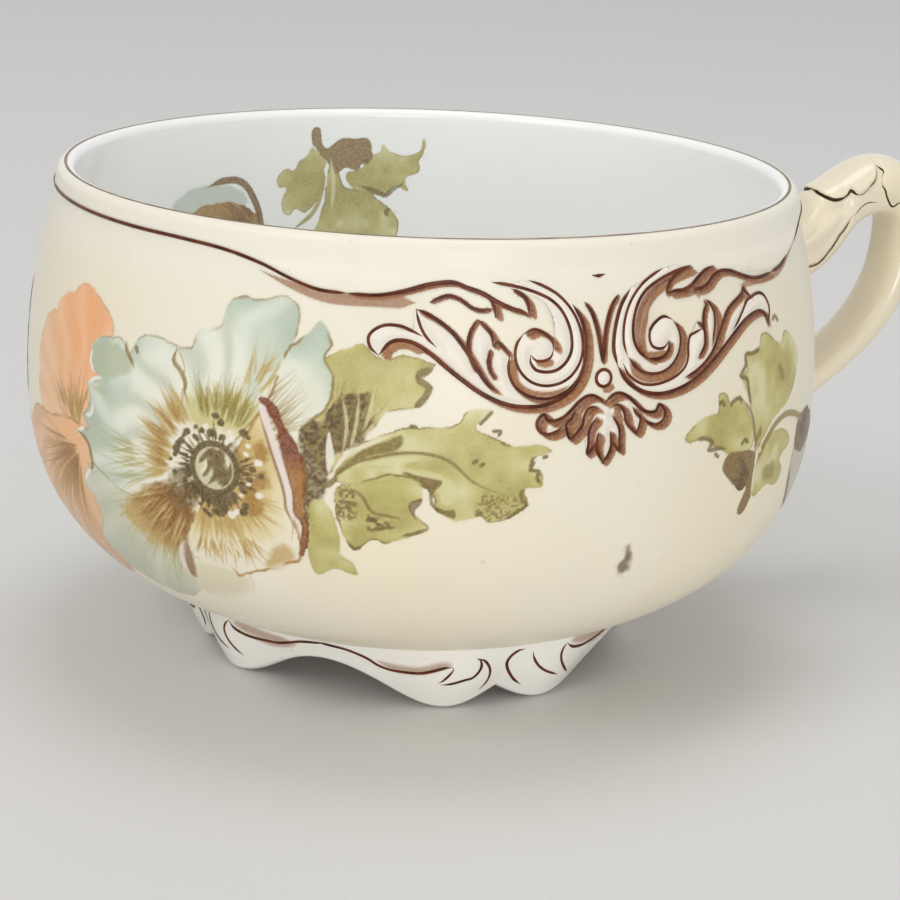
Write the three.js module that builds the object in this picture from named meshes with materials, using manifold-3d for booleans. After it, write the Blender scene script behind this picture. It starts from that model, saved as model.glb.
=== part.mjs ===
// A footed porcelain cup with an ear handle. The bowl, the scalloped foot ring and the handle are
// cast apart and luted together with slip. Millimetres, +Z up: the feet stand on z = 0, the handle
// points along +X, and the origin is under the middle of the whole cup.
import * as THREE from 'three';
import { mergeVertices } from 'three/addons/utils/BufferGeometryUtils.js';
import Module from 'manifold-3d';

// Bowl
const cupHeight = 67.7; // from the table to the top of the lip
const lipRadius = 50.2; // outside of the lip
const lipThickness = 2.4;
const bandProud = 0.6; // how far the moulded band under the lip stands out past the lip
const bandDrop = 2.1; // from the top of the lip down to the fullest part of the band
const neckProud = 0.3; // how far the neck under the band stands out past the lip
const neckDrop = 3.4; // from the top of the lip down to the neck
const neckLean = 0.31; // inward lean of the wall as it reaches the neck, per unit of rise
const shoulderRun = 6; // length over which the wall takes that lean
const bellyRadius = 54.4;
const bellyHeight = 39.6; // from the table to the widest ring
const bellyRun = 10; // length over which the wall stays upright above the widest ring
const bowlBase = 5.4; // from the table to the underside of the bowl at its middle
const bowlFullness = 2.55; // roundness of the lower half: 2 is an ellipse, more is fuller
const wallThickness = 2.6;
const floorThickness = 3.2;

// Foot ring
const footTopRadius = 32.2; // outside, where the ring meets the bowl
const footDrawIn = 3.9; // how far the ring's outer face draws in from the bowl down to the table
const footWall = 3.4;
const footCount = 4;
const footTurn = -1.5; // degrees that the ring is turned from square with the handle
const lobeAngle = 13.5; // degrees from the middle of a foot to each of its two lobes
const notchHeight = 2.5; // between the two lobes of a foot
const footFlare = 1.2; // how far the middle of a foot stands out past the ring, at the table
const footBulge = 1.2; // how far its outer face swells, half way up
const bridgeHeight = 0.75; // wall left over an arch between two feet, on the inner face
const toeDepth = 0.15; // ground off the lobes, which leaves their flat toes

// Handle
const handleReach = 26.2; // from the bowl's widest ring to the outermost face of the loop
const gripRadius = 2.2; // inside of the bend at the top of the finger gap
const crestDrop = 7.3; // from the top of the lip down to the middle of the strap at its crest
const upperRootDrop = 14.6; // from the top of the lip down to the middle of the upper root
const lowerRootHeight = 24.8; // from the table to the middle of the lower root
const upperRootRun = 16; // how far the upper limb keeps its direction out of the bowl
const crestRun = 9.8; // how far the upper limb runs level before the crest
const backRun = 11.1; // how far the back of the loop runs straight down
const lowerRootRun = 28.5; // how far the lower limb runs straight into the bowl
const lowerRootSlope = 25.9; // degrees that the lower limb climbs as it leaves the bowl
const strapThickness = 5.4; // at the back of the loop
const strapWidth = 9.2;
const crestThickness = 5.4;
const leafRise = 2.8; // how far the moulded leaf stands above the strap at the crest
const leafLateness = 9; // how late the leaf rises towards the crest: 1 is along the whole upper limb
const upperRootThickness = 14.4;
const upperRootWidth = 11.5;
const lowerRootThickness = 3.9;
const lowerRootWidth = 9.8;
const strapSquareness = 2.4; // shape of the strap's section: 2 is an ellipse, more is squarer

// Luting joints
const slipThickness = 0.6;
const seamGap = 0.3; // clear space on each side of a layer of slip
const trimDepth = 4; // how far a casting would reach into the bowl before its end is trimmed

// Fineness of the surfaces
const bowlSegments = 64;
const lowerOuterSteps = 10;
const upperOuterSteps = 6;
const lowerInnerSteps = 9;
const upperInnerSteps = 5;
const lipSteps = 4;
const footSegments = 128;
const footTopSteps = 3;
const settlePasses = 12; // rounds of finding where a leaning wall meets the bowl
const strapSides = 16;
const limbSteps = 12;
const bendSteps = 7;

const wasm = await Module();
wasm.setup();

const quarterTurn = Math.PI / 2;
const glaze = { roughness: 0.2, metalness: 0 };
const ivoryGlaze = new THREE.MeshStandardMaterial({ color: '#ece3cf', ...glaze });
const whiteGlaze = new THREE.MeshStandardMaterial({ color: '#eeeae1', ...glaze });
const creamGlaze = new THREE.MeshStandardMaterial({ color: '#ebe1ca', ...glaze });
const firedSlip = new THREE.MeshStandardMaterial({ color: '#f0ece2', roughness: 0.65, metalness: 0 });

// A closed surface becomes a solid once its shared corners are merged and its empty faces dropped.
function solidFrom(surface) {
  const bare = new THREE.BufferGeometry();
  bare.setAttribute('position', surface.getAttribute('position'));
  bare.setIndex(surface.getIndex());
  const merged = mergeVertices(bare);
  const corners = merged.getIndex().array;
  const faces = [];
  for (let i = 0; i < corners.length; i += 3) {
    const [a, b, c] = corners.slice(i, i + 3);
    if (a !== b && b !== c && c !== a) {
      faces.push(a, b, c);
    }
  }
  const mesh = new wasm.Mesh({
    numProp: 3,
    vertProperties: new Float32Array(merged.getAttribute('position').array),
    triVerts: new Uint32Array(faces),
  });
  return new wasm.Manifold(mesh);
}

function pieceFrom(name, solid, material) {
  const mesh = solid.getMesh();
  const geometry = new THREE.BufferGeometry();
  geometry.setAttribute('position', new THREE.BufferAttribute(mesh.vertProperties, 3));
  geometry.setIndex(new THREE.BufferAttribute(mesh.triVerts, 1));
  geometry.computeVertexNormals();
  const piece = new THREE.Mesh(geometry, material);
  piece.name = name;
  return piece;
}

// Rings of corners, all with the same count, joined into one skin. The skin closes on itself
// round the section, and either runs round in a circle or gets a cap at each end.
function skinOver(rings, isLoop) {
  const count = rings[0].length;
  const positions = rings.flat().flatMap((corner) => corner.toArray());
  const faces = [];
  const joined = isLoop ? rings.length : rings.length - 1;
  for (let i = 0; i < joined; i += 1) {
    const near = i * count;
    const far = ((i + 1) % rings.length) * count;
    for (let j = 0; j < count; j += 1) {
      const next = (j + 1) % count;
      faces.push(near + j, far + j, near + next);
      faces.push(far + j, far + next, near + next);
    }
  }
  if (!isLoop) {
    const last = (rings.length - 1) * count;
    for (let j = 1; j < count - 1; j += 1) {
      faces.push(0, j, j + 1);
      faces.push(last, last + j + 1, last + j);
    }
  }
  const skin = new THREE.BufferGeometry();
  skin.setAttribute('position', new THREE.Float32BufferAttribute(positions, 3));
  skin.setIndex(faces);
  return skin;
}

// Bowl

// The rounded lower half, from the axis out to the widest ring.
function roundedHalf(radius, middleHeight, base, steps) {
  const points = [];
  for (let i = 0; i <= steps; i += 1) {
    const angle = (i / steps) * quarterTurn;
    const out = Math.sin(angle) ** (2 / bowlFullness);
    const down = Math.cos(angle) ** (2 / bowlFullness);
    points.push(new THREE.Vector2(radius * out, middleHeight - (middleHeight - base) * down));
  }
  points[0].x = 0;
  return points;
}

// The wall above the widest ring, upright at first and leaning in towards its top.
function leaningWall(radius, topRadius, topHeight, steps) {
  const wall = new THREE.CubicBezierCurve(
    new THREE.Vector2(radius, bellyHeight),
    new THREE.Vector2(radius, bellyHeight + bellyRun),
    new THREE.Vector2(topRadius + neckLean * shoulderRun, topHeight - shoulderRun),
    new THREE.Vector2(topRadius, topHeight),
  );
  return wall.getPoints(steps).slice(1);
}

function lipRound() {
  const radius = lipThickness / 2;
  const points = [];
  for (let i = 0; i <= lipSteps; i += 1) {
    const angle = (i / lipSteps) * 2 * quarterTurn;
    points.push(new THREE.Vector2(
      lipRadius - radius + radius * Math.cos(angle),
      cupHeight - radius + radius * Math.sin(angle),
    ));
  }
  return points;
}

function outerProfile() {
  return [
    ...roundedHalf(bellyRadius, bellyHeight, bowlBase, lowerOuterSteps),
    ...leaningWall(bellyRadius, lipRadius + neckProud, cupHeight - neckDrop, upperOuterSteps),
    new THREE.Vector2(lipRadius + bandProud, cupHeight - bandDrop),
  ];
}

function innerProfile() {
  const radius = bellyRadius - wallThickness;
  const topRadius = lipRadius - lipThickness;
  const topHeight = cupHeight - lipThickness / 2;
  return [
    ...roundedHalf(radius, bellyHeight, bowlBase + floorThickness, lowerInnerSteps),
    ...leaningWall(radius, topRadius, topHeight, upperInnerSteps),
  ];
}

function turned(profile) {
  const surface = new THREE.LatheGeometry(profile, bowlSegments);
  surface.rotateX(quarterTurn);
  return solidFrom(surface);
}

// The lip's round ends where the inner wall does, so that point is taken from the lip.
const outside = outerProfile();
const inside = innerProfile().slice(0, -1);
const bowl = turned([...outside, ...lipRound(), ...inside.reverse()]);

// The outside of the bowl, grown by a clearance.
function grownProfile(clearance) {
  return outside.map((point, i) => {
    const before = outside[Math.max(i - 1, 0)];
    const after = outside[Math.min(i + 1, outside.length - 1)];
    const along = after.clone().sub(before).normalize();
    const outward = i === 0 ? new THREE.Vector2(0, -1) : new THREE.Vector2(along.y, -along.x);
    return point.clone().addScaledVector(outward, clearance);
  });
}

// The space inside that outside, with the hollow of the bowl counted as full.
function bowlSpace(clearance) {
  const grown = grownProfile(clearance);
  const rim = new THREE.Vector2(grown[grown.length - 1].x, cupHeight);
  return turned([...grown, rim, new THREE.Vector2(0, cupHeight)]);
}

function bowlRadiusAt(height) {
  const above = outside.findIndex((point) => point.y >= height);
  const low = outside[above - 1];
  const high = outside[above];
  return THREE.MathUtils.mapLinear(height, low.y, high.y, low.x, high.x);
}

function undersideAt(radius, clearance) {
  const grown = grownProfile(clearance);
  const beyond = grown.findIndex((point) => point.x >= radius);
  const near = grown[beyond - 1];
  const far = grown[beyond];
  return THREE.MathUtils.mapLinear(radius, near.x, far.x, near.y, far.y);
}

// Luting joints: a layer of slip lies between two clear seams.
const slipTop = seamGap;
const slipBottom = slipTop + slipThickness;
const trimFace = slipBottom + seamGap;

// Foot ring

const footRadius = footTopRadius - footDrawIn; // outside, at the table
const footLean = footDrawIn / undersideAt(footTopRadius, 0);

// The ring's wall leans out from the table to the bowl. Its upper end follows the bowl's underside,
// from the outer face to the inner face, at a clearance from it.
function wallEnd(clearance) {
  const points = [];
  for (let i = 0; i <= footTopSteps; i += 1) {
    const toe = footRadius - (i / footTopSteps) * footWall;
    let height = 0;
    for (let pass = 0; pass < settlePasses; pass += 1) {
      height = undersideAt(toe + footLean * height, clearance);
    }
    points.push(new THREE.Vector2(toe + footLean * height, height));
  }
  return points;
}

const footTop = wallEnd(trimFace);
const outerTop = footTop[0];
const innerTop = footTop[footTop.length - 1];
const archHeight = innerTop.y - bridgeHeight;

const footSpan = 360 / footCount;

// Degrees from the middle of the nearest foot, at an angle round the bowl's axis.
function fromFoot(angle) {
  const turnedAngle = angle - footTurn + footSpan / 2;
  return Math.abs(THREE.MathUtils.euclideanModulo(turnedAngle, footSpan) - footSpan / 2);
}

// Height of the ring's lower edge.
function footEdge(angle) {
  const fromMiddle = fromFoot(angle);
  if (fromMiddle < lobeAngle) {
    const lobe = Math.sin((fromMiddle / lobeAngle) * quarterTurn);
    return Math.max(notchHeight * (1 - lobe) - toeDepth, 0);
  }
  const share = (fromMiddle - lobeAngle) / (footSpan / 2 - lobeAngle);
  const raised = (1 - Math.cos(share * Math.PI)) / 2;
  return Math.max((archHeight + toeDepth) * raised - toeDepth, 0);
}

// The share of a foot's flare and bulge: all of it at the middle of a foot, none over an arch.
function footSwell(angle) {
  return (1 + Math.cos((fromFoot(angle) / footSpan) * 4 * quarterTurn)) / 2;
}

function footSection(angle) {
  const edge = footEdge(angle);
  const swell = footSwell(angle);
  const flare = footFlare * swell * (1 - edge / outerTop.y);
  const outerToe = new THREE.Vector2(footRadius + footLean * edge + flare, edge);
  const innerToe = new THREE.Vector2(outerToe.x - footWall, edge);
  const outerMiddle = outerToe.clone().add(outerTop).divideScalar(2);
  outerMiddle.x += footBulge * swell;
  const innerMiddle = innerToe.clone().add(innerTop).divideScalar(2);
  const section = [outerToe, outerMiddle, ...footTop, innerMiddle, innerToe];
  const turn = THREE.MathUtils.degToRad(angle);
  return section.map(({ x, y }) => new THREE.Vector3(x * Math.cos(turn), x * Math.sin(turn), y));
}

const footRings = [];
for (let i = 0; i < footSegments; i += 1) {
  footRings.push(footSection((i / footSegments) * 360));
}
const footRing = solidFrom(skinOver(footRings, true));

const slipUnder = wallEnd(slipBottom);
const slipOver = wallEnd(slipTop).reverse();
const footSlip = turned([...slipOver, ...slipUnder, slipOver[0]].reverse());

// Handle

// The middle of the strap: out of the bowl and up to the crest, round the back of the loop, and
// down to the lower root.
function strapLine() {
  const upperRootHeight = cupHeight - upperRootDrop;
  const upperRoot = new THREE.Vector2(bowlRadiusAt(upperRootHeight) - trimDepth, upperRootHeight);
  const lowerRoot = new THREE.Vector2(bowlRadiusAt(lowerRootHeight) - trimDepth, lowerRootHeight);
  const bendRadius = gripRadius + strapThickness / 2;
  const crestHeight = cupHeight - crestDrop;
  const back = new THREE.Vector2(bellyRadius + handleReach - strapThickness / 2, crestHeight - bendRadius);
  const crest = new THREE.Vector2(back.x - bendRadius, crestHeight);
  const slope = THREE.MathUtils.degToRad(lowerRootSlope);
  const rootward = new THREE.Vector2(Math.cos(slope), Math.sin(slope)).multiplyScalar(lowerRootRun);
  const upperLimb = new THREE.CubicBezierCurve(
    upperRoot,
    new THREE.Vector2(upperRoot.x + upperRootRun, upperRoot.y),
    new THREE.Vector2(crest.x - crestRun, crest.y),
    crest,
  );
  const bend = new THREE.EllipseCurve(crest.x, back.y, bendRadius, bendRadius, quarterTurn, 0, true);
  const lowerLimb = new THREE.CubicBezierCurve(
    back,
    new THREE.Vector2(back.x, back.y - backRun),
    lowerRoot.clone().add(rootward),
    lowerRoot,
  );
  return { upperLimb, bend, lowerLimb };
}

// Stations along one stretch of the strap, with its sizes changing from end to end.
function stations(curve, steps, from, to, leafPower) {
  const list = [];
  for (let i = 0; i <= steps; i += 1) {
    const share = i / steps;
    const eased = THREE.MathUtils.smoothstep(share, 0, 1);
    list.push({
      middle: curve.getPoint(share),
      along: curve.getTangent(share),
      thickness: THREE.MathUtils.lerp(from.thickness, to.thickness, eased),
      width: THREE.MathUtils.lerp(from.width, to.width, eased),
      leaf: THREE.MathUtils.lerp(from.leaf, to.leaf, eased ** leafPower),
    });
  }
  return list;
}

function strapSection({ middle, along, thickness, width, leaf }) {
  const corners = [];
  for (let i = 0; i < strapSides; i += 1) {
    const angle = (i / strapSides) * 4 * quarterTurn;
    const across = Math.sign(Math.cos(angle)) * Math.abs(Math.cos(angle)) ** (2 / strapSquareness);
    const through = Math.sign(Math.sin(angle)) * Math.abs(Math.sin(angle)) ** (2 / strapSquareness);
    const outward = through * (thickness / 2 + (through > 0 ? leaf : 0));
    corners.push(new THREE.Vector3(
      middle.x - along.y * outward,
      (-across * width) / 2,
      middle.y + along.x * outward,
    ));
  }
  return corners;
}

const upperRootSize = { thickness: upperRootThickness, width: upperRootWidth, leaf: 0 };
const crestSize = { thickness: crestThickness, width: strapWidth, leaf: leafRise };
const strapSize = { thickness: strapThickness, width: strapWidth, leaf: 0 };
const lowerRootSize = { thickness: lowerRootThickness, width: lowerRootWidth, leaf: 0 };
const { upperLimb, bend, lowerLimb } = strapLine();
const strap = [
  ...stations(upperLimb, limbSteps, upperRootSize, crestSize, leafLateness),
  ...stations(bend, bendSteps, crestSize, strapSize, 1).slice(1),
  ...stations(lowerLimb, limbSteps, strapSize, lowerRootSize, 1).slice(1),
];
const handleCasting = solidFrom(skinOver(strap.map(strapSection), false));
const handle = handleCasting.subtract(bowlSpace(trimFace));
const slipShell = bowlSpace(slipBottom).subtract(bowlSpace(slipTop));
const handleSlips = handleCasting.intersect(slipShell).decompose();
const slipHeight = (slip) => slip.boundingBox().max[2];
handleSlips.sort((a, b) => slipHeight(b) - slipHeight(a));
const [upperSlip, lowerSlip] = handleSlips;

// The whole cup, moved so that its origin is under its middle.
const cup = new THREE.Group();
cup.add(
  pieceFrom('bowl', bowl, ivoryGlaze),
  pieceFrom('foot_ring', footRing, whiteGlaze),
  pieceFrom('handle', handle, creamGlaze),
  pieceFrom('handle_upper_slip', upperSlip, firedSlip),
  pieceFrom('handle_lower_slip', lowerSlip, firedSlip),
  pieceFrom('foot_slip', footSlip, firedSlip),
);
const extent = new THREE.Box3().setFromObject(cup);
cup.position.x = -(extent.min.x + extent.max.x) / 2;

export default cup;
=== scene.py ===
import math

import bpy
import numpy as np
from mathutils import Matrix, Vector
from mathutils.bvhtree import BVHTree


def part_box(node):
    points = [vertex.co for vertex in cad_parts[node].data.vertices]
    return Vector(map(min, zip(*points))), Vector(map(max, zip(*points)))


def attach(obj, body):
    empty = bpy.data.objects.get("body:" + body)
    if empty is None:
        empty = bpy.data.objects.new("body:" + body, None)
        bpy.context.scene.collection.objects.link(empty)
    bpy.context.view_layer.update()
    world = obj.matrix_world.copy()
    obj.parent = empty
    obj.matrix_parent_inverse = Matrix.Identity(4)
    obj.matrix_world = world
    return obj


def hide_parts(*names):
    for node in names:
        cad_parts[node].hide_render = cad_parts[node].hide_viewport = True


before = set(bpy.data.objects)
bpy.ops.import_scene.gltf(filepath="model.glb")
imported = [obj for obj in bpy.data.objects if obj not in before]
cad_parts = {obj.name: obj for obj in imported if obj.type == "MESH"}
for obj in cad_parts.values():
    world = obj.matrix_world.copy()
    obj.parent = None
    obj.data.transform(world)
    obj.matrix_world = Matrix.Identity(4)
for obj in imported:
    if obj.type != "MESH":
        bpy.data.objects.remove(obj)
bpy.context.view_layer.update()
mm = 0.001
bowlLow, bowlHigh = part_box("bowl")
axisX = (bowlLow.x + bowlHigh.x) / 2 / mm  # the bowl's axis, in millimetres
print("stage: frame loaded")


# Small tools

def smoothStep(low, high, value):
    share = np.clip((value - low) / (high - low), 0, 1)
    return share * share * (3 - 2 * share)


def paint(red, green, blue):  # a display colour as the linear one that shaders use
    colour = np.array([red, green, blue], float)
    return np.where(colour <= 0.04045, colour / 12.92, ((colour + 0.055) / 1.055) ** 2.4)


def opaque(colour):
    return (*[float(part) for part in colour], 1.0)


def addNode(tree, kind, settings=None, inputs=None):
    node = tree.nodes.new(kind)
    for key, value in (settings or {}).items():
        setattr(node, key, value)
    for key, value in (inputs or {}).items():
        slot = next(s for s in node.inputs if key in (s.identifier, s.name))
        if isinstance(value, Wire):
            tree.links.new(value.socket, slot)
        elif isinstance(value, bpy.types.NodeSocket):
            tree.links.new(value, slot)
        else:
            slot.default_value = value
    return node


class Wire:  # one node socket, with arithmetic
    def __init__(self, tree, socket=None):
        self.tree = tree
        self.socket = socket

    def make(self, kind, settings=None, inputs=None, output=0):
        node = addNode(self.tree, kind, settings, inputs)
        if isinstance(output, str):
            return Wire(self.tree, next(s for s in node.outputs if output in (s.identifier, s.name)))
        return Wire(self.tree, node.outputs[output])

    def calc(self, operation, first, second=0.0):
        node = self.tree.nodes.new("ShaderNodeMath")
        node.operation = operation
        for slot, value in zip(node.inputs, (first, second)):
            if isinstance(value, Wire):
                self.tree.links.new(value.socket, slot)
            else:
                slot.default_value = value
        return Wire(self.tree, node.outputs[0])

    def __add__(self, other):
        return self.calc("ADD", self, other)

    def __mul__(self, other):
        return self.calc("MULTIPLY", self, other)

    def between(self, low, high):  # 0 below low, 1 above high
        inputs = {"Value": self, "From Min": low, "From Max": high}
        return self.make("ShaderNodeMapRange", {"interpolation_type": "SMOOTHSTEP"}, inputs)

    def blend(self, first, second):  # a colour, from first to second
        inputs = {"Factor_Float": self, "A_Color": first, "B_Color": second}
        return self.make("ShaderNodeMix", {"data_type": "RGBA"}, inputs, "Result_Color")

    def noise(self, scale, detail):
        inputs = {"Vector": self, "Scale": scale, "Detail": detail}
        return self.make("ShaderNodeTexNoise", None, inputs, "Fac")


def startMaterial(name):
    material = bpy.data.materials.new(name)
    material.use_nodes = True
    tree = material.node_tree
    shader = tree.nodes["Principled BSDF"]
    place = Wire(tree).make("ShaderNodeTexCoord", None, None, "Object")
    return material, shader, place


def feed(shader, slot, wire):
    wire.tree.links.new(wire.socket, shader.inputs[slot])


def gridFaces(rows, columns, closeRows=False, closeColumns=False):
    row = np.arange(rows if closeRows else rows - 1)[:, None]
    column = np.arange(columns if closeColumns else columns - 1)[None, :]
    nextRow = (row + 1) % rows
    nextColumn = (column + 1) % columns
    corners = (row * columns + column, row * columns + nextColumn,
               nextRow * columns + nextColumn, nextRow * columns + column)
    return np.stack(corners, -1).reshape(-1, 4)


def addPiece(name, points, faces, *materials):
    mesh = bpy.data.meshes.new(name)
    mesh.from_pydata(points.reshape(-1, 3).tolist(), [], list(faces))
    mesh.shade_smooth()
    for material in materials:
        mesh.materials.append(material)
    piece = bpy.data.objects.new(name, mesh)
    bpy.context.scene.collection.objects.link(piece)
    return piece


def storeValues(piece, name, kind, values):
    attribute = piece.data.attributes.new(name, kind, "POINT")
    field = {"FLOAT": "value", "FLOAT_COLOR": "color", "FLOAT_VECTOR": "vector"}[kind]
    attribute.data.foreach_set(field, np.ascontiguousarray(values, np.float32).ravel())


def dress(piece, slot, *nodes):
    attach(piece, "root")
    if nodes:
        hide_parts(*nodes)


# Curves through given points

def throughPoints(points, step=0.3, closed=False):
    knots = np.array(points, float)
    if closed:
        knots = np.concatenate([knots[-1:], knots, knots[:2]])
    else:
        knots = np.concatenate([[2 * knots[0] - knots[1]], knots, [2 * knots[-1] - knots[-2]]])
    pieces = []
    for before, start, end, after in zip(knots, knots[1:], knots[2:], knots[3:]):
        count = max(2, int(np.hypot(*(end - start)) / step))
        share = np.linspace(0, 1, count, endpoint=False)[:, None]
        pieces.append(start + 0.5 * share * (end - before)
                      + share**2 * (before - 2.5 * start + 2 * end - 0.5 * after)
                      + share**3 * (1.5 * start - 0.5 * before - 1.5 * end + 0.5 * after))
    if not closed:
        pieces.append(knots[-2:-1])
    return np.concatenate(pieces)


def lineDistance(across, height, line):  # distance to a line, and the share of its length there
    nearest = np.full(across.shape, np.inf)
    along = np.zeros(across.shape)
    lengths = np.maximum(np.hypot(*(line[1:] - line[:-1]).T), 1e-9)
    passed = 0.0
    for start, end, length in zip(line, line[1:], lengths):
        way = (end - start) / length
        run = np.clip((across - start[0]) * way[0] + (height - start[1]) * way[1], 0, length)
        gap = np.hypot(across - start[0] - run * way[0], height - start[1] - run * way[1])
        nearer = gap < nearest
        nearest = np.where(nearer, gap, nearest)
        along = np.where(nearer, (passed + run) / lengths.sum(), along)
        passed += length
    return nearest, along


def insideOutline(across, height, outline):
    inside = np.zeros(across.shape, bool)
    for start, end in zip(outline, np.roll(outline, -1, 0)):
        if start[1] != end[1]:
            crosses = (start[1] > height) != (end[1] > height)
            reach = start[0] + (height - start[1]) * (end[0] - start[0]) / (end[1] - start[1])
            inside ^= crosses & (across < reach)
    return inside


def signedDepth(across, height, outline):  # distance inside a closed outline, below zero outside
    gap = lineDistance(across, height, np.concatenate([outline, outline[:1]]))[0]
    return np.where(insideOutline(across, height, outline), gap, -gap)


def bezier(start, first, second, end, count):  # places, and the way ahead at each
    share = np.linspace(0, 1, count)[:, None]
    rest = 1 - share
    place = rest**3 * start + 3 * rest**2 * share * first + 3 * rest * share**2 * second + share**3 * end
    along = rest**2 * (first - start) + 2 * rest * share * (second - first) + share**2 * (end - second)
    return place, along / np.linalg.norm(along, axis=1, keepdims=True)


def roundPlace(radius, azimuth, height):  # metres; azimuth 0 faces the front, 90 the handle
    angle = np.radians(azimuth)
    return np.stack([axisX + radius * np.sin(angle), -radius * np.cos(angle), height + 0 * angle], -1) * mm


def outwardAt(surface, azimuth, height, step=0.05):
    over = surface(azimuth + step, height) - surface(azimuth - step, height)
    out = np.cross(over, surface(azimuth, height + step) - surface(azimuth, height - step))
    return out / np.linalg.norm(out, axis=1, keepdims=True)


# The bowl's wall, in millimetres: radius and height from the foot to the lip and back down inside

bowlShape = dict(height=67.7, lipRadius=50.2, lipThickness=2.4, whiteFrom=0.58, neckRadius=50.5,
                 neckHeight=64.3, neckLean=0.31, shoulderRun=6.0, bellyRadius=54.4, bellyHeight=39.6,
                 bellyRun=10.0, base=5.4, fullness=2.55, wall=2.6, floor=3.2, skin=0.96, slack=0.5,
                 floorSlack=0.4)
bowlRows = dict(segments=520, low=72, shoulder=30, band=34, bandFrom=59.5, lip=13, inside=(34, 24),
                fine=(900, 700))
rimBand = dict(proud=0.85, farShare=0.4, soft=0.5, fadeStart=63.0, fadeEnd=67.2, panel=(12, 26),
               panelSoft=1.9, panelShare=0.3, reliefFrom=50.0, samples=361, blur=12, blurSpread=5.0)
# the band's lower edge: degrees from the middle of a scroll panel, height
rimEdge = np.array([(0, 61.6), (4, 62.4), (8, 63.4), (12, 63.6), (16, 63.0), (21, 62.6), (27, 61.4),
                    (34, 60.8), (40, 61.8), (46, 63.5), (52, 64.6), (60, 65.0), (90, 65.1)])


def halfRound(radius, base, count):
    shape = bowlShape
    angle = np.linspace(0, math.pi / 2, count)
    out = np.sin(angle) ** (2 / shape["fullness"])
    down = np.cos(angle) ** (2 / shape["fullness"])
    return np.stack([radius * out, shape["bellyHeight"] - (shape["bellyHeight"] - base) * down], -1)


def leaningWall(radius, topRadius, topHeight, count):
    shape = bowlShape
    start = np.array([radius, shape["bellyHeight"]])
    upright = start + [0, shape["bellyRun"]]
    end = np.array([topRadius, topHeight])
    lean = end + [shape["neckLean"] * shape["shoulderRun"], -shape["shoulderRun"]]
    return bezier(start, upright, lean, end, count)[0][1:]


def outerWall(lowCount, highCount):
    shape = bowlShape
    low = halfRound(shape["bellyRadius"], shape["base"], lowCount)
    high = leaningWall(shape["bellyRadius"], shape["neckRadius"], shape["neckHeight"], highCount)
    return np.concatenate([low, high])


def innerWall(lowCount, highCount):
    shape = bowlShape
    radius = shape["bellyRadius"] - shape["wall"]
    low = halfRound(radius, shape["base"] + shape["floor"], lowCount)
    topRadius = shape["lipRadius"] - shape["lipThickness"]
    return np.concatenate([low, leaningWall(radius, topRadius, lipHeight, highCount)])


lipHeight = bowlShape["height"] - bowlShape["lipThickness"] / 2  # where the lip's round starts
fineWall = np.concatenate([outerWall(*bowlRows["fine"]), [[bowlShape["lipRadius"], lipHeight]]])
fineInside = innerWall(*bowlRows["fine"])


def wallRadius(height):
    return np.interp(height, fineWall[:, 1], fineWall[:, 0])


def insideRadius(height):
    return np.interp(height, fineInside[:, 1], fineInside[:, 0])


def panelAngle(azimuth):  # degrees from the middle of the nearer scroll panel
    return np.abs((azimuth + 90) % 180 - 90)


def rimLine(azimuth):  # height of the band's lower edge, with its corners blurred
    blur = rimBand["blur"]
    fine = np.linspace(0, 90, rimBand["samples"])
    height = np.interp(fine, rimEdge[:, 0], rimEdge[:, 1])
    spread = np.exp(-0.5 * (np.arange(-blur, blur + 1) / rimBand["blurSpread"]) ** 2)
    padded = np.concatenate([height[blur:0:-1], height, height[-2:-blur - 2:-1]])
    return np.interp(panelAngle(azimuth), fine, np.convolve(padded, spread / spread.sum(), "valid"))


def bandRelief(azimuth, height):
    band = rimBand
    beside = smoothStep(*band["panel"], panelAngle(azimuth))  # 0 behind a scroll panel
    rise = smoothStep(-1, 1, (height - rimLine(azimuth)) / (band["soft"] + band["panelSoft"] * (1 - beside)))
    proud = band["proud"] * (band["panelShare"] + (1 - band["panelShare"]) * beside)
    nearHandle = (1 + np.cos(np.radians(azimuth - 90))) / 2
    proud = proud * (band["farShare"] + (1 - band["farShare"]) * nearHandle)
    fade = np.clip((height - band["fadeStart"]) / (band["fadeEnd"] - band["fadeStart"]), 0, 1)
    return proud * rise * (1 - fade)


def wallPoint(azimuth, height, lift=0.0):
    return roundPlace(wallRadius(height) + bandRelief(azimuth, height) + lift, azimuth, height)


def insidePoint(azimuth, height, lift=0.0):
    return roundPlace(insideRadius(height) - lift, azimuth, height)


# Glazes

glazeLook = dict(ivory=paint(0.930, 0.902, 0.822), warm=paint(0.925, 0.890, 0.785),
                 rim=paint(0.930, 0.908, 0.850), speck=paint(0.66, 0.58, 0.44),
                 inside=paint(0.985, 0.988, 0.978), insideTint=paint(0.975, 0.976, 0.960),
                 foot=paint(0.970, 0.960, 0.930), footTint=paint(0.960, 0.945, 0.905),
                 cream=paint(0.915, 0.872, 0.770), creamTint=paint(0.910, 0.860, 0.745),
                 satin=0.3, gloss=0.17, satinShine=0.18, glossShine=0.5, uneven=0.16)
# noise: scale, detail
glazeNoise = dict(cloud=(24.0, 3.0), tint=(30.0, 3.0), speck=(880.0, 1.0), grain=(2600.0, 2.0),
                  uneven=(60.0, 4.0), ripple=(260.0, 3.0))
glazeRange = dict(cloud=(0.38, 0.68), tint=(0.35, 0.7), speck=(0.76, 0.80), grain=(0.3, 0.75))
glazeRim = dict(heights=(0.057, 0.064), share=0.85)  # metres; the paler glaze of the rim band
glazeSpecks = dict(wall=0.22, other=0.15)
glazeGrain = dict(least=0.89, more=0.12)
glazeRipple = dict(strength=0.05, depth=0.0006)


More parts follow.
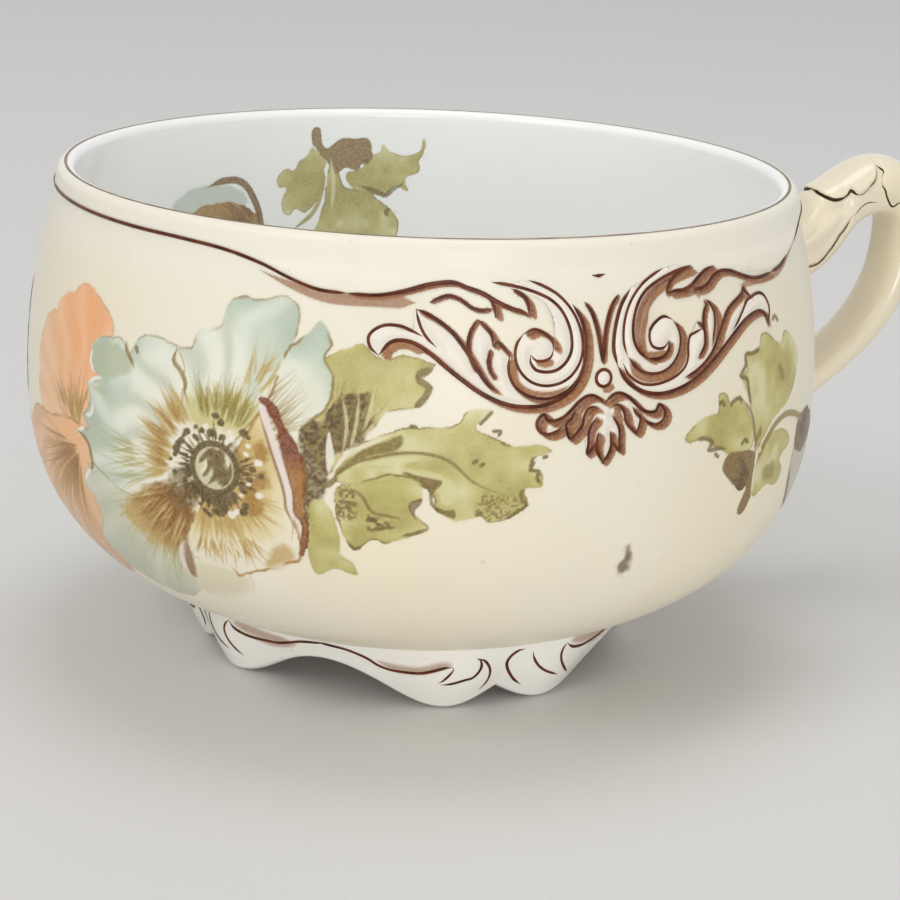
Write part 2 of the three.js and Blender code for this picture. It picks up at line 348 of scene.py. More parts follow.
def specked(place, base, share):
    specks = place.noise(*glazeNoise["speck"]).between(*glazeRange["speck"]) * share
    return specks.blend(base, opaque(glazeLook["speck"]))


def ivoryGround(place):
    look = glazeLook
    cloud = place.noise(*glazeNoise["cloud"]).between(*glazeRange["cloud"])
    base = cloud.blend(opaque(look["ivory"]), opaque(look["warm"]))
    height = place.make("ShaderNodeSeparateXYZ", None, {"Vector": place}, "Z")
    base = (height.between(*glazeRim["heights"]) * glazeRim["share"]).blend(base, opaque(look["rim"]))
    return specked(place, base, glazeSpecks["wall"])


def cloudedGround(colour, tint):
    def ground(place):
        cloud = place.noise(*glazeNoise["tint"]).between(*glazeRange["tint"])
        return specked(place, cloud.blend(opaque(colour), opaque(tint)), glazeSpecks["other"])
    return ground


insideGround = cloudedGround(glazeLook["inside"], glazeLook["insideTint"])
footGround = cloudedGround(glazeLook["foot"], glazeLook["footTint"])
creamGround = cloudedGround(glazeLook["cream"], glazeLook["creamTint"])


def glazeMaterial(name, ground, roughness, painted=False):
    material, shader, place = startMaterial(name)
    base = ground(place)
    if painted:  # paint stored on the mesh, with the grain of a stone print
        colour = place.make("ShaderNodeAttribute", {"attribute_name": "paint"}, None, "Color")
        cover = place.make("ShaderNodeAttribute", {"attribute_name": "cover"}, None, "Fac")
        grain = place.noise(*glazeNoise["grain"]).between(*glazeRange["grain"])
        base = (cover * (grain * glazeGrain["more"] + glazeGrain["least"])).blend(base, colour)
    feed(shader, "Base Color", base)
    shine = "satinShine" if roughness == glazeLook["satin"] else "glossShine"
    shader.inputs["Specular IOR Level"].default_value = glazeLook[shine]
    uneven = place.noise(*glazeNoise["uneven"]) * glazeLook["uneven"]
    feed(shader, "Roughness", uneven + (roughness - glazeLook["uneven"] / 2))
    bump = {"Height": place.noise(*glazeNoise["ripple"]), "Strength": glazeRipple["strength"],
            "Distance": glazeRipple["depth"]}
    feed(shader, "Normal", place.make("ShaderNodeBump", None, bump, "Normal"))
    return material


lineNoise = dict(patch=(420.0, 3.0), uneven=(900.0, 2.0))
linePatch = dict(range=(0.36, 0.66), uneven=0.2)
# colour, dark colour, roughness
linePaints = dict(brown=(paint(0.42, 0.21, 0.11), paint(0.29, 0.125, 0.065), 0.32),
                  # olive: the handle's leaf lines, dark enough to paint the shadow under the leaf's edge as
                  # well
                  olive=(paint(0.26, 0.20, 0.11), paint(0.17, 0.12, 0.07), 0.32),
                  # gold: a greyish brown that paints shade in the groove under the handle's bead and along
                  # the ridge above it
                  gold=(paint(0.52, 0.43, 0.34), paint(0.40, 0.31, 0.23), 0.35),
                  lip=(paint(0.64, 0.56, 0.46), paint(0.53, 0.45, 0.36), 0.35))


def lineMaterial(name, colour, dark, roughness):
    material, shader, place = startMaterial(name)
    patch = place.noise(*lineNoise["patch"]).between(*linePatch["range"])
    feed(shader, "Base Color", patch.blend(opaque(colour), opaque(dark)))
    shader.inputs["Specular IOR Level"].default_value = glazeLook["satinShine"]
    uneven = place.noise(*lineNoise["uneven"]) * linePatch["uneven"]
    feed(shader, "Roughness", uneven + (roughness - linePatch["uneven"] / 2))
    return material


ivoryGlaze = glazeMaterial("ivoryGlaze", ivoryGround, glazeLook["satin"])
insideGlaze = glazeMaterial("insideGlaze", insideGround, glazeLook["gloss"])
footGlaze = glazeMaterial("footGlaze", footGround, glazeLook["gloss"], True)
creamGlaze = glazeMaterial("creamGlaze", creamGround, glazeLook["gloss"])
wallPrint = glazeMaterial("wallPrint", ivoryGround, glazeLook["satin"], True)
insidePrint = glazeMaterial("insidePrint", insideGround, glazeLook["gloss"], True)
brownLine = lineMaterial("brownLine", *linePaints["brown"])
oliveLineAndShadow = lineMaterial("oliveLineAndShadow", *linePaints["olive"])
beadShadeLine = lineMaterial("beadShadeLine", *linePaints["gold"])
lipGold = lineMaterial("lipGold", *linePaints["lip"])
print("stage: glazes made")


# Geometry Nodes: a profile turned round an axis

def geometryTree(name, inputs):
    tree = bpy.data.node_groups.new(name, "GeometryNodeTree")
    tree.is_modifier = True
    face = tree.interface
    face.new_socket("Geometry", in_out="INPUT", socket_type="NodeSocketGeometry")
    for label, kind in inputs:
        face.new_socket(label, in_out="INPUT", socket_type="NodeSocket" + kind)
    face.new_socket("Geometry", in_out="OUTPUT", socket_type="NodeSocketGeometry")
    return tree, tree.nodes.new("NodeGroupInput"), tree.nodes.new("NodeGroupOutput")


def runTree(piece, tree, values):
    modifier = piece.modifiers.new(tree.name, "NODES")
    modifier.node_group = tree
    for socket in tree.interface.items_tree:
        if socket.in_out == "INPUT" and socket.name in values:
            modifier[socket.identifier] = values[socket.name]
    seen = bpy.context.evaluated_depsgraph_get()
    mesh = bpy.data.meshes.new_from_object(piece.evaluated_get(seen))
    piece.modifiers.remove(modifier)
    mesh.name = piece.name
    piece.data = mesh
    return piece


def turnedTree():
    tree, start, end = geometryTree("turnedShell", [("Segments", "Int"), ("Rows", "Int"),
                                                    ("Glaze", "Material")])
    wire = Wire(tree)
    segments = Wire(tree, start.outputs["Segments"])
    rows = Wire(tree, start.outputs["Rows"])
    grid = wire.make("GeometryNodeMeshGrid", None, {"Vertices X": segments + 1, "Vertices Y": rows})
    index = wire.make("GeometryNodeInputIndex")
    column = wire.calc("FLOOR", wire.calc("DIVIDE", index, rows))
    row = wire.calc("MODULO", index, rows)
    place = wire.make("GeometryNodeInputPosition")
    sampled = wire.make("GeometryNodeSampleIndex", {"data_type": "FLOAT_VECTOR"},
                        {"Geometry": start.outputs["Geometry"], "Value": place, "Index": row})
    parts = addNode(tree, "ShaderNodeSeparateXYZ", None, {"Vector": sampled})
    radius = Wire(tree, parts.outputs["X"])
    angle = wire.calc("DIVIDE", column, segments) * (2 * math.pi)
    turned = wire.make("ShaderNodeCombineXYZ", None, {
        "X": radius * wire.calc("COSINE", angle), "Y": radius * wire.calc("SINE", angle),
        "Z": parts.outputs["Z"]})
    shell = wire.make("GeometryNodeSetPosition", None, {"Geometry": grid, "Position": turned})
    shell = wire.make("GeometryNodeMergeByDistance", None, {"Geometry": shell, "Distance": 1e-6})
    shell = wire.make("GeometryNodeSetShadeSmooth", None, {"Geometry": shell})
    shell = wire.make("GeometryNodeRealizeInstances", None, {"Geometry": shell})
    shell = wire.make("GeometryNodeSetMaterial", None,
                      {"Geometry": shell, "Material": start.outputs["Glaze"]})
    tree.links.new(shell.socket, end.inputs["Geometry"])
    return tree


def profileMesh(name, profile):  # a line of corners in the XZ plane, metres
    points = np.stack([profile[:, 0], 0 * profile[:, 0], profile[:, 1]], -1) * mm
    edges = np.stack([np.arange(len(points) - 1), np.arange(1, len(points))], -1)
    mesh = bpy.data.meshes.new(name)
    mesh.from_pydata(points.tolist(), edges.tolist(), [])
    piece = bpy.data.objects.new(name, mesh)
    bpy.context.scene.collection.objects.link(piece)
    return piece


def meshPoints(piece):
    points = np.empty(len(piece.data.vertices) * 3)
    piece.data.vertices.foreach_get("co", points)
    return points.reshape(-1, 3)


def setMeshPoints(piece, points):
    piece.data.vertices.foreach_set("co", np.ascontiguousarray(points, np.float32).ravel())
    piece.data.update()


def makeBowl():
    shape = bowlShape
    rows = bowlRows
    low = outerWall(rows["low"], 2)[:-1]
    heights = np.concatenate([np.linspace(shape["bellyHeight"], rows["bandFrom"], rows["shoulder"])[1:],
                              np.linspace(rows["bandFrom"], lipHeight, rows["band"])[1:-1]])
    high = np.stack([wallRadius(heights), heights], -1)
    turn = np.linspace(0, math.pi, rows["lip"])
    lipRound = shape["lipThickness"] / 2
    lip = np.stack([shape["lipRadius"] - lipRound + lipRound * np.cos(turn),
                    lipHeight + lipRound * np.sin(turn)], -1)
    inside = innerWall(*rows["inside"])[:-1][::-1]
    profile = np.concatenate([low, high, lip, inside])
    bowl = runTree(profileMesh("bowl_shell", profile), turnedTree(),
                   {"Segments": rows["segments"], "Rows": len(profile), "Glaze": ivoryGlaze})
    points = meshPoints(bowl) / mm
    radius = np.hypot(points[:, 0], points[:, 1])
    azimuth = np.degrees(np.arctan2(points[:, 0], -points[:, 1]))
    isOuter = (radius > wallRadius(points[:, 2]) - shape["skin"]) & (points[:, 2] > rimBand["reliefFrom"])
    swell = np.where(isOuter, bandRelief(azimuth, points[:, 2]), 0) / np.maximum(radius, 1e-3)
    points[:, :2] *= 1 + swell[:, None]
    points[:, 0] += axisX
    setMeshPoints(bowl, points * mm)
    bowl.data.materials.clear()
    bowl.data.materials.append(ivoryGlaze)
    bowl.data.materials.append(insideGlaze)
    middles = np.empty(len(bowl.data.polygons) * 3)
    bowl.data.polygons.foreach_get("center", middles)
    middles = middles.reshape(-1, 3) / mm
    reach = np.hypot(middles[:, 0] - axisX, middles[:, 1])
    lipInside = shape["lipRadius"] - shape["whiteFrom"] * shape["lipThickness"]
    insideReach = np.where(middles[:, 2] > lipHeight, lipInside, insideRadius(middles[:, 2]) + shape["slack"])
    isInside = (reach < insideReach) & (middles[:, 2] > shape["base"] + shape["floor"] - shape["floorSlack"])
    bowl.data.polygons.foreach_set("material_index", isInside.astype(np.int32))
    dress(bowl, "ivory_glaze", "bowl")
    return bowl


bowl = makeBowl()
print("stage: bowl turned,", len(bowl.data.polygons), "faces")


# Foot ring: a leaning wall whose lower edge waves between two-lobed feet

footShape = dict(topRadius=32.2, drawIn=3.9, wall=3.4, count=4, turn=-1.5, lobe=13.5, notch=2.5, arch=5.85,
                 flare=2.0, bulge=1.0, spread=13.0, bury=0.5, toe=0.9, columns=960, outerRows=26, toeRows=9,
                 innerRows=14)


def undersideHeight(radius):
    low = fineWall[:bowlRows["fine"][0]]
    return np.interp(radius, low[:, 0], low[:, 1])


def fromFoot(azimuth):  # degrees from the middle of the nearest foot; one foot is under the handle
    foot = 360 / footShape["count"]
    return (azimuth - 90 - footShape["turn"] + foot / 2) % foot - foot / 2


def footEdge(azimuth):  # height of the ring's lower edge
    shape = footShape
    away = np.abs(fromFoot(azimuth))
    inLobe = shape["notch"] * (1 - np.sin(np.minimum(away / shape["lobe"], 1) * math.pi / 2))
    share = np.clip((away - shape["lobe"]) / (180 / shape["count"] - shape["lobe"]), 0, 1)
    return np.where(away < shape["lobe"], inLobe, shape["arch"] * (1 - np.cos(share * math.pi)) / 2)


footTop = undersideHeight(footShape["topRadius"])
footLean = footShape["drawIn"] / footTop
footRadius = footShape["topRadius"] - footShape["drawIn"]  # at the table
# tan washes on a foot: degrees from its middle, height
footTan = [
    [(-30.5, 7.1), (-27, 6.9), (-20.9, 6.8), (-15.4, 7.6), (-13, 7.1), (-17.6, 6.1), (-20.3, 5.7),
     (-26, 5.7)],
    [(19, 8.2), (22, 7.4), (28, 7), (33, 7.1), (37, 7.7), (34.6, 8.2), (31, 8.3), (27, 8.5), (22, 8.7)],
    [(25.5, 6.8), (28.6, 6.3), (32, 6.3), (36.4, 6.9), (38, 7.6), (33, 7.1)]]
footTanLook = dict(colour=(0.66, 0.48, 0.36), cover=0.75, degreeLength=0.53, soft=0.35, curveStep=0.5)


def footFace(azimuth, height):  # radius of the ring's outer face
    shape = footShape
    edge = footEdge(azimuth)
    top = footTop + shape["bury"]
    share = np.clip((top - height) / (top - edge - shape["toe"]), 0, 1)
    swell = shape["bulge"] * np.sin(share * math.pi) + shape["flare"] * (1 - height / footTop)
    fromLobe = np.abs(fromFoot(azimuth)) - shape["lobe"]
    onLobe = np.exp(-(fromLobe / shape["spread"]) ** 2)  # little is left over an arch
    return footRadius + footLean * height + swell * onLobe


def footWash(azimuth, height):  # how much tan covers the ring's outer face
    look = footTanLook
    scale = np.array([look["degreeLength"], 1.0])
    across = fromFoot(azimuth) * scale[0] + 0 * height
    outlines = [throughPoints(outline, look["curveStep"], True) * scale for outline in footTan]
    depth = np.max([signedDepth(across, height, outline) for outline in outlines], axis=0)
    return smoothStep(-look["soft"], look["soft"], depth) * look["cover"]


def makeFoot():
    shape = footShape
    azimuth = np.linspace(0, 360, shape["columns"], endpoint=False)
    edge = footEdge(azimuth)
    topHeight = footTop + shape["bury"]
    share = np.linspace(0, 1, shape["outerRows"])[:, None]
    height = topHeight + (edge + shape["toe"] - topHeight) * share
    outer = np.stack([footFace(azimuth, height), height], -1)
    turn = np.linspace(0, math.pi, shape["toeRows"])[1:-1, None]
    half = shape["wall"] / 2
    middle = footFace(azimuth, edge + shape["toe"]) - half
    toe = np.stack([middle + half * np.cos(turn), edge + shape["toe"] * (1 - np.sin(turn))], -1)
    back = np.linspace(0, 1, shape["innerRows"])[:, None]
    rise = edge + shape["toe"] + (topHeight - edge - shape["toe"]) * back
    innerTop = footRadius + footLean * topHeight - shape["wall"]
    inner = np.stack([middle - half + (innerTop - middle + half) * back, rise], -1)
    section = np.concatenate([outer, toe, inner])
    points = roundPlace(section[..., 0], azimuth, section[..., 1])
    faces = gridFaces(len(section), shape["columns"], True, True)[:, ::-1]
    piece = addPiece("foot_ring_glazed", points, faces, footGlaze)
    cover = np.zeros(section.shape[:2])
    cover[:len(outer)] = footWash(azimuth, height)
    tan = np.tile(opaque(paint(*footTanLook["colour"])), (cover.size, 1))
    storeValues(piece, "paint", "FLOAT_COLOR", tan)
    storeValues(piece, "cover", "FLOAT", cover)
    dress(piece, "white_glaze", "foot_ring", "foot_slip")


makeFoot()
print("stage: foot ring made")


# Handle: a strap swept along its middle line, with a moulded leaf over the crest

handleShape = dict(bury=1.2, reach=80.6, grip=2.2, crest=60.4, upperRoot=53.1, lowerRoot=24.8, upperRun=16.0,
                   crestRun=9.8, backRun=11.1, lowerRun=28.5, lowerSlope=25.9, trim=4.0,
                   strap=(5.4, 9.2), atCrest=(5.4, 9.2), leafRise=2.6, leafLate=9.0, upperEnd=(14.4, 11.5),
                   lowerEnd=(3.9, 9.8), squareness=2.4, sides=160, limbRows=190, bendRows=70, curveStep=0.4)
# the moulded leaf over the crest: distance from the bowl's axis, height
leafOutline = [(60, 64), (61.6, 62.8), (62.1, 62), (62.3, 61.5), (62.9, 61), (63.6, 60.7), (64.3, 60.7),
               (65.2, 60.9), (65.9, 61.4), (66.5, 62), (67.1, 61.5), (67.7, 61.4), (68.3, 61.6), (69, 62.1),
               (69.7, 62.7), (70.4, 63.3), (70.8, 64), (71.2, 64.7), (71.5, 65.4), (71.9, 64.8),
               (71.8, 64.2), (71.5, 63.2), (71.5, 62.6), (71.9, 62), (72.3, 61), (72.9, 60.1), (73.6, 59.4),
               (74.3, 59.5), (75, 59.9), (76.5, 59.2), (78, 58.6), (80, 57.6), (84, 57.5), (84, 71),
               (60, 71)]
leafLook = dict(proud=0.75, soft=0.3, wrap=(-0.2, 0.3))
# the stem drops away towards the bowl, behind the leaf's tip
rootFall = dict(drop=3.2, reach=(58.6, 62.4), wrap=(-0.1, 0.9))
# a fine groove along the underside of the upper limb, and two soft flutes above it
beadGroove = [(55.5, 50), (58.5, 50.8), (60.3, 51.1), (61.4, 51.3), (62.3, 52), (63.1, 53.1), (63.9, 54.1),
              (64.7, 55.4), (65.6, 56.4), (66.5, 57.7)]
highFlute = [(55, 56.4), (57, 57.1), (59.3, 57.9), (61.1, 58.6), (63.1, 59.3), (65, 60)]
lowFlute = [(56, 51.8), (58, 52.4), (59.6, 53), (61.1, 53.9), (62.6, 55), (64.1, 56.5), (65, 57.6)]
grooves = [(beadGroove, 0.35, 0.3), (highFlute, 0.8, 1.4), (lowFlute, 0.4, 0.9)]  # line, depth, half width


def strapLine():
    shape = handleShape
    upper = np.array([wallRadius(shape["upperRoot"]) - shape["trim"], shape["upperRoot"]])
    lower = np.array([wallRadius(shape["lowerRoot"]) - shape["trim"], shape["lowerRoot"]])
    bend = shape["grip"] + shape["strap"][0] / 2
    back = np.array([shape["reach"] - shape["strap"][0] / 2, shape["crest"] - bend])
    crest = np.array([back[0] - bend, shape["crest"]])
    slope = math.radians(shape["lowerSlope"])
    rootward = lower + shape["lowerRun"] * np.array([math.cos(slope), math.sin(slope)])
    upperLimb = bezier(upper, upper + [shape["upperRun"], 0], crest - [shape["crestRun"], 0], crest,
                       shape["limbRows"])
    turn = np.linspace(math.pi / 2, 0, shape["bendRows"])[1:, None]
    bendLimb = (np.array([crest[0], back[1]]) + bend * np.concatenate([np.cos(turn), np.sin(turn)], 1),
                np.concatenate([np.sin(turn), -np.cos(turn)], 1))
    lowerLimb = bezier(back, back - [0, shape["backRun"]], rootward, lower, shape["limbRows"])
    return [upperLimb, bendLimb, (lowerLimb[0][1:], lowerLimb[1][1:])]


def makeHandle():
    shape = handleShape
    sizes = [(*shape["upperEnd"], 0.0), (*shape["atCrest"], shape["leafRise"]), (*shape["strap"], 0.0),
             (*shape["lowerEnd"], 0.0)]
    middles, alongs, spans = [], [], []
    for (place, along), fromSize, toSize in zip(strapLine(), sizes, sizes[1:]):
        eased = smoothStep(0, 1, np.linspace(0, 1, len(place)))[:, None] * np.ones(3)
        if toSize[2] > fromSize[2]:
            eased[:, 2] = eased[:, 2] ** shape["leafLate"]  # the leaf rises late, near the crest
        middles.append(place)
        alongs.append(along)
        spans.append(np.array(fromSize) + (np.array(toSize) - np.array(fromSize)) * eased)
    middle = np.concatenate(middles)[:, None]
    along = np.concatenate(alongs)[:, None]
    span = np.concatenate(spans)[:, None]
    angle = np.linspace(0, 2 * math.pi, shape["sides"], endpoint=False)[None, :]
    power = 2 / shape["squareness"]
    across = np.sign(np.cos(angle)) * np.abs(np.cos(angle)) ** power
    through = np.sign(np.sin(angle)) * np.abs(np.sin(angle)) ** power
    lift = through * (span[..., 0] / 2 + np.where(through > 0, span[..., 2], 0))
    side = -across * span[..., 1] / 2
    reach = middle[..., 0] - along[..., 1] * lift
    height = middle[..., 1] + along[..., 0] * lift
    outline = throughPoints(leafOutline, shape["curveStep"], True)
    onLeaf = smoothStep(-leafLook["soft"], leafLook["soft"], signedDepth(reach, height, outline))
    proud = leafLook["proud"] * onLeaf * smoothStep(*leafLook["wrap"], through)
    for points, depth, halfWidth in grooves:
        gap = lineDistance(reach, height, throughPoints(points, shape["curveStep"]))[0]
        proud = proud - depth * np.exp(-(gap / halfWidth) ** 2)
    side = side * (1 + 2 * proud / span[..., 1])
    fall = (1 - smoothStep(*rootFall["reach"], reach)) * smoothStep(*rootFall["wrap"], through)
    reach = reach - along[..., 1] * proud * through
    height = height + along[..., 0] * proud * through - rootFall["drop"] * fall
    inWall = np.sqrt(np.maximum((wallRadius(height) - shape["bury"]) ** 2 - side ** 2, 0))
    points = np.stack([axisX + np.maximum(reach, inWall), side, height], -1) * mm
    rows = len(middle)
    faces = gridFaces(rows, shape["sides"], False, True).tolist()
    faces.append(list(range(shape["sides"]))[::-1])
    faces.append(list(range((rows - 1) * shape["sides"], rows * shape["sides"])))
    piece = addPiece("handle_glazed", points, faces, creamGlaze)
    dress(piece, "cream_glaze", "handle", "handle_upper_slip", "handle_lower_slip")
    return piece


handle = makeHandle()
print("stage: handle made")


# Printed pictures: paint on a grid of azimuth and height

printLook = dict(step=0.16, degreeLength=0.93, soft=0.1, curveStep=0.5, margin=1.5, taper=0.02, keep=0.01,
                 keepRelief=0.02)
fanLook = dict(knots=4, bend=0.12, widths=(0.6, 1.3), ends=(0.15, 0.7))
speckLook = dict(edge=(-0.1, 0.3))
rimLook = dict(edge=(-0.1, 0.05), gaps=(-0.35, 0.25), gapSize=2.4)
foldLook = dict(sway=2.2, swaySize=5.0, reach=(5, 12))
leafPaint = dict(waver=0.2, edge=(-0.12, 0.16), cover=0.96, rim=0.28, tones=(-0.55, 0.0, 0.55))
# clouds of soft lumps: share of the whole, size in millimetres
waverClouds = [(0.6, 1.1), (0.4, 0.5)]
leafClouds = [(0.65, 4.0), (0.35, 1.5)]
toMillimetres = np.array([printLook["degreeLength"], 1.0])


def stops(value, *pairs):  # a colour for each value, between named stops
    places = [pair[0] for pair in pairs]
    return np.stack([np.interp(value, places, [pair[1][part] for pair in pairs]) for part in range(3)], -1)


def oval(middle, across, up, count):
    turns = np.linspace(0, 2 * math.pi, count, endpoint=False)
    return [(middle[0] + across * math.cos(turn), middle[1] + up * math.sin(turn)) for turn in turns]


class Transfer:  # a printed sheet: colour and cover on a grid of azimuth and height
    def __init__(self, azimuths, heights, seed):
        step = printLook["step"]
        columns = int((azimuths[1] - azimuths[0]) * printLook["degreeLength"] / step) + 1
        rows = int((heights[1] - heights[0]) / step) + 1
        self.azimuth, self.height = np.meshgrid(np.linspace(*azimuths, columns), np.linspace(*heights, rows))
        self.across = self.azimuth * printLook["degreeLength"]
        self.paint = np.zeros((rows, columns, 3))
        self.cover = np.zeros((rows, columns))
        self.random = np.random.default_rng(seed)
        self.mask = None  # the last outline filled
        self.waver = self.clouds(waverClouds)

    def clouds(self, sizes):
        return sum(share * self.cloud(size) for share, size in sizes)

    def cloud(self, size):  # soft lumps from -1 to 1, about size millimetres wide
        steps = [np.arange(count) * printLook["step"] / size for count in self.cover.shape]
        coarse = self.random.uniform(-1, 1, [int(way[-1]) + 3 for way in steps])
        row, column = (way.astype(int) for way in steps)
        down = smoothStep(0, 1, steps[0] - row)[:, None]
        over = smoothStep(0, 1, steps[1] - column)[None, :]
        low = coarse[row][:, column] * (1 - over) + coarse[row][:, column + 1] * over
        high = coarse[row + 1][:, column] * (1 - over) + coarse[row + 1][:, column + 1] * over
        return low * (1 - down) + high * down

    def window(self, line, margin):
        columns = np.searchsorted(self.across[0], [line[:, 0].min() - margin, line[:, 0].max() + margin])
        rows = np.searchsorted(self.height[:, 0], [line[:, 1].min() - margin, line[:, 1].max() + margin])
        return np.s_[rows[0]:rows[1], columns[0]:columns[1]]

    def depth(self, points, waver=0.0):  # millimetres inside an outline, below zero outside
        line = throughPoints(points, printLook["curveStep"], True) * toMillimetres
        part = self.window(line, printLook["margin"])
        depth = np.full(self.cover.shape, -9.0)
        depth[part] = signedDepth(self.across[part], self.height[part], line) + waver * self.waver[part]
        return depth

    def lay(self, mask, colour, part=np.s_[:, :]):
        share = np.clip(mask, 0, 1)
        total = share + self.cover[part] * (1 - share)
        weight = share / np.maximum(total, 1e-6)
        self.paint[part] += (np.asarray(colour) - self.paint[part]) * weight[..., None]
        self.cover[part] = total

    def patch(self, points, colour, strength=1.0, waver=0.0, soft=printLook["soft"]):
        self.mask = smoothStep(-soft, soft, self.depth(points, waver))
        self.lay(self.mask * strength, colour)

    def stroke(self, points, halfWidth, colour, strength=1.0, within=None, ends=(0.3, 0.3)):
        line = throughPoints(points, printLook["curveStep"]) * toMillimetres
        soft, taper = printLook["soft"], printLook["taper"]
        part = self.window(line, halfWidth + 2 * soft)
        gap, along = lineDistance(self.across[part], self.height[part], line)
        tips = np.minimum(smoothStep(-taper, ends[0], along), smoothStep(-taper, ends[1], 1 - along))
        mask = smoothStep(-soft, soft, halfWidth * tips - gap) * strength
        self.lay(mask if within is None else mask * within[part], colour, part)

    def strokes(self, lines, *settings):
        for points in lines:
            self.stroke(points, *settings)

    def rays(self, centre, count, angles, near, far, colour, halfWidth, strength, within):
        look = fanLook
        share = np.linspace(0, 1, look["knots"])
        for angle in np.radians(self.random.uniform(*angles, count)):
            reach = np.linspace(self.random.uniform(*near), self.random.uniform(*far), look["knots"])
            bent = angle + self.random.uniform(-look["bend"], look["bend"]) * share
            place = np.stack([reach * np.cos(bent), reach * np.sin(bent)], -1) / toMillimetres + centre
            width = halfWidth * self.random.uniform(*look["widths"])
            self.stroke(place, width, colour, strength, within, look["ends"])

    def fan(self, *settings):  # rays kept inside the last outline filled
        self.rays(*settings, self.mask)

    def specks(self, mask, colour, size, share=0.15):  # the broken grain of a stone print
        self.lay(smoothStep(*speckLook["edge"], self.cloud(size) + share) * mask, colour)

    def stipple(self, points, waver, edge, strength, colour, size, share=0.15, ground=None, kept=False):
        mask = smoothStep(*edge, self.depth(points, waver)) * strength
        if kept:  # inside the last outline filled
            mask = mask * self.mask
        if ground:
            self.lay(mask, ground)
        self.specks(mask, colour, size, share)

    def glow(self, place, size, colour, strength):  # a soft light spot on the last outline filled
        spot = ((self.azimuth - place[0]) / size[0]) ** 2 + ((self.height - place[1]) / size[1]) ** 2
        self.lay(self.mask * np.exp(-spot) * strength, colour)

    def polar(self, centre):
        across = self.across - centre[0] * printLook["degreeLength"]
        height = self.height - centre[1]
        return np.hypot(across, height), np.arctan2(height, across)

    def folds(self, mask, centre, count, light, shade, strength):  # ruffles that run out from a heart
        look = foldLook
        reach, angle = self.polar(centre)
        sway = look["sway"] * self.cloud(look["swaySize"])
        wave = np.sin(angle * count + sway) * smoothStep(*look["reach"], reach)
        self.lay(mask * np.maximum(wave, 0) * strength, light)
        self.lay(mask * np.maximum(-wave, 0) * strength, shade)

    def rim(self, depth, colour, strength, width=0.3):  # a broken line along an outline
        patchy = smoothStep(*rimLook["gaps"], self.cloud(rimLook["gapSize"]))
        edge = smoothStep(*rimLook["edge"], depth) * (1 - smoothStep(width / 2, width, depth))
        self.lay(edge * patchy * strength, colour)

    def leaf(self, points, edge):
        look, tone = leafPaint, leafColours
        depth = self.depth(points, look["waver"])
        self.mask = smoothStep(*look["edge"], depth)
        tones = zip(look["tones"], (tone["light"], tone["middle"], tone["deep"]))
        self.lay(self.mask * look["cover"], stops(self.clouds(leafClouds), *tones))
        self.rim(depth, tone["edge"], edge, look["rim"])

    def draw(self, marks):  # each mark: the name of a method above, then what it takes
        for kind, *settings in marks:
            getattr(self, kind)(*settings)


def addFilm(name, sheet, material, surface=wallPoint, lift=0.05, relief=0.0, mirrored=False):
    azimuth = -180 - sheet.azimuth if mirrored else sheet.azimuth
    rows, columns = sheet.cover.shape
    points = surface(azimuth, sheet.height, lift + relief).reshape(-1, 3)
    faces = gridFaces(rows, columns)
    kept = (sheet.cover + (np.asarray(relief) > printLook["keepRelief"])).ravel() > printLook["keep"]
    faces = faces[kept[faces].all(1)]
    if mirrored != (surface is insidePoint):
        faces = faces[:, ::-1]
    used = np.zeros(len(points), bool)
    used[faces] = True
    renumber = np.cumsum(used) - 1
    film = addPiece(name, points[used], renumber[faces], material)
    colour = np.concatenate([paint(*sheet.paint.reshape(-1, 3).T).T, np.ones((len(points), 1))], 1)
    storeValues(film, "paint", "FLOAT_COLOR", colour[used])
    storeValues(film, "cover", "FLOAT", sheet.cover.ravel()[used])
    flat = np.stack(np.meshgrid(np.linspace(0, 1, columns), np.linspace(0, 1, rows)), -1).reshape(-1, 2)
    corners = film.data.uv_layers.new(name="OFBake")
    order = np.empty(len(film.data.loops), int)
    film.data.loops.foreach_get("vertex_index", order)
    corners.data.foreach_set("uv", flat[used][order].astype(np.float32).ravel())
    dress(film, "ivory_glaze")


# Brush lines: flattened cords that follow painted strokes

lineLook = dict(halfWidth=0.19, flatness=0.25, sides=8, step=0.25, lift=0.13, footLift=0.03, tip=(-0.4, 1.6))


def brushTree():
    tree, start, end = geometryTree("brushLine", [("Flatness", "Float"), ("Sides", "Int"),
                                                  ("Paint", "Material")])
    wire = Wire(tree)
    width = wire.make("GeometryNodeInputNamedAttribute", {"data_type": "FLOAT"}, {"Name": "halfWidth"})
    out = wire.make("GeometryNodeInputNamedAttribute", {"data_type": "FLOAT_VECTOR"}, {"Name": "outward"})
    curve = wire.make("GeometryNodeMeshToCurve", None, {"Mesh": start.outputs["Geometry"]})
    curve = wire.make("GeometryNodeSetCurveNormal", {"mode": "FREE"}, {"Curve": curve, "Normal": out})
    circle = wire.make("GeometryNodeCurvePrimitiveCircle", None,
                       {"Resolution": start.outputs["Sides"], "Radius": 1.0})
    squash = wire.make("ShaderNodeCombineXYZ", None, {"X": start.outputs["Flatness"], "Y": 1.0, "Z": 1.0})
    brush = wire.make("GeometryNodeTransform", None, {"Geometry": circle, "Scale": squash})
    cord = wire.make("GeometryNodeCurveToMesh", None,
                     {"Curve": curve, "Profile Curve": brush, "Scale": width, "Fill Caps": True})
    cord = wire.make("GeometryNodeSetShadeSmooth", None, {"Geometry": cord})
    cord = wire.make("GeometryNodeRealizeInstances", None, {"Geometry": cord})
    cord = wire.make("GeometryNodeSetMaterial", None, {"Geometry": cord, "Material": start.outputs["Paint"]})
    tree.links.new(cord.socket, end.inputs["Geometry"])
    return tree


brushNodes = brushTree()


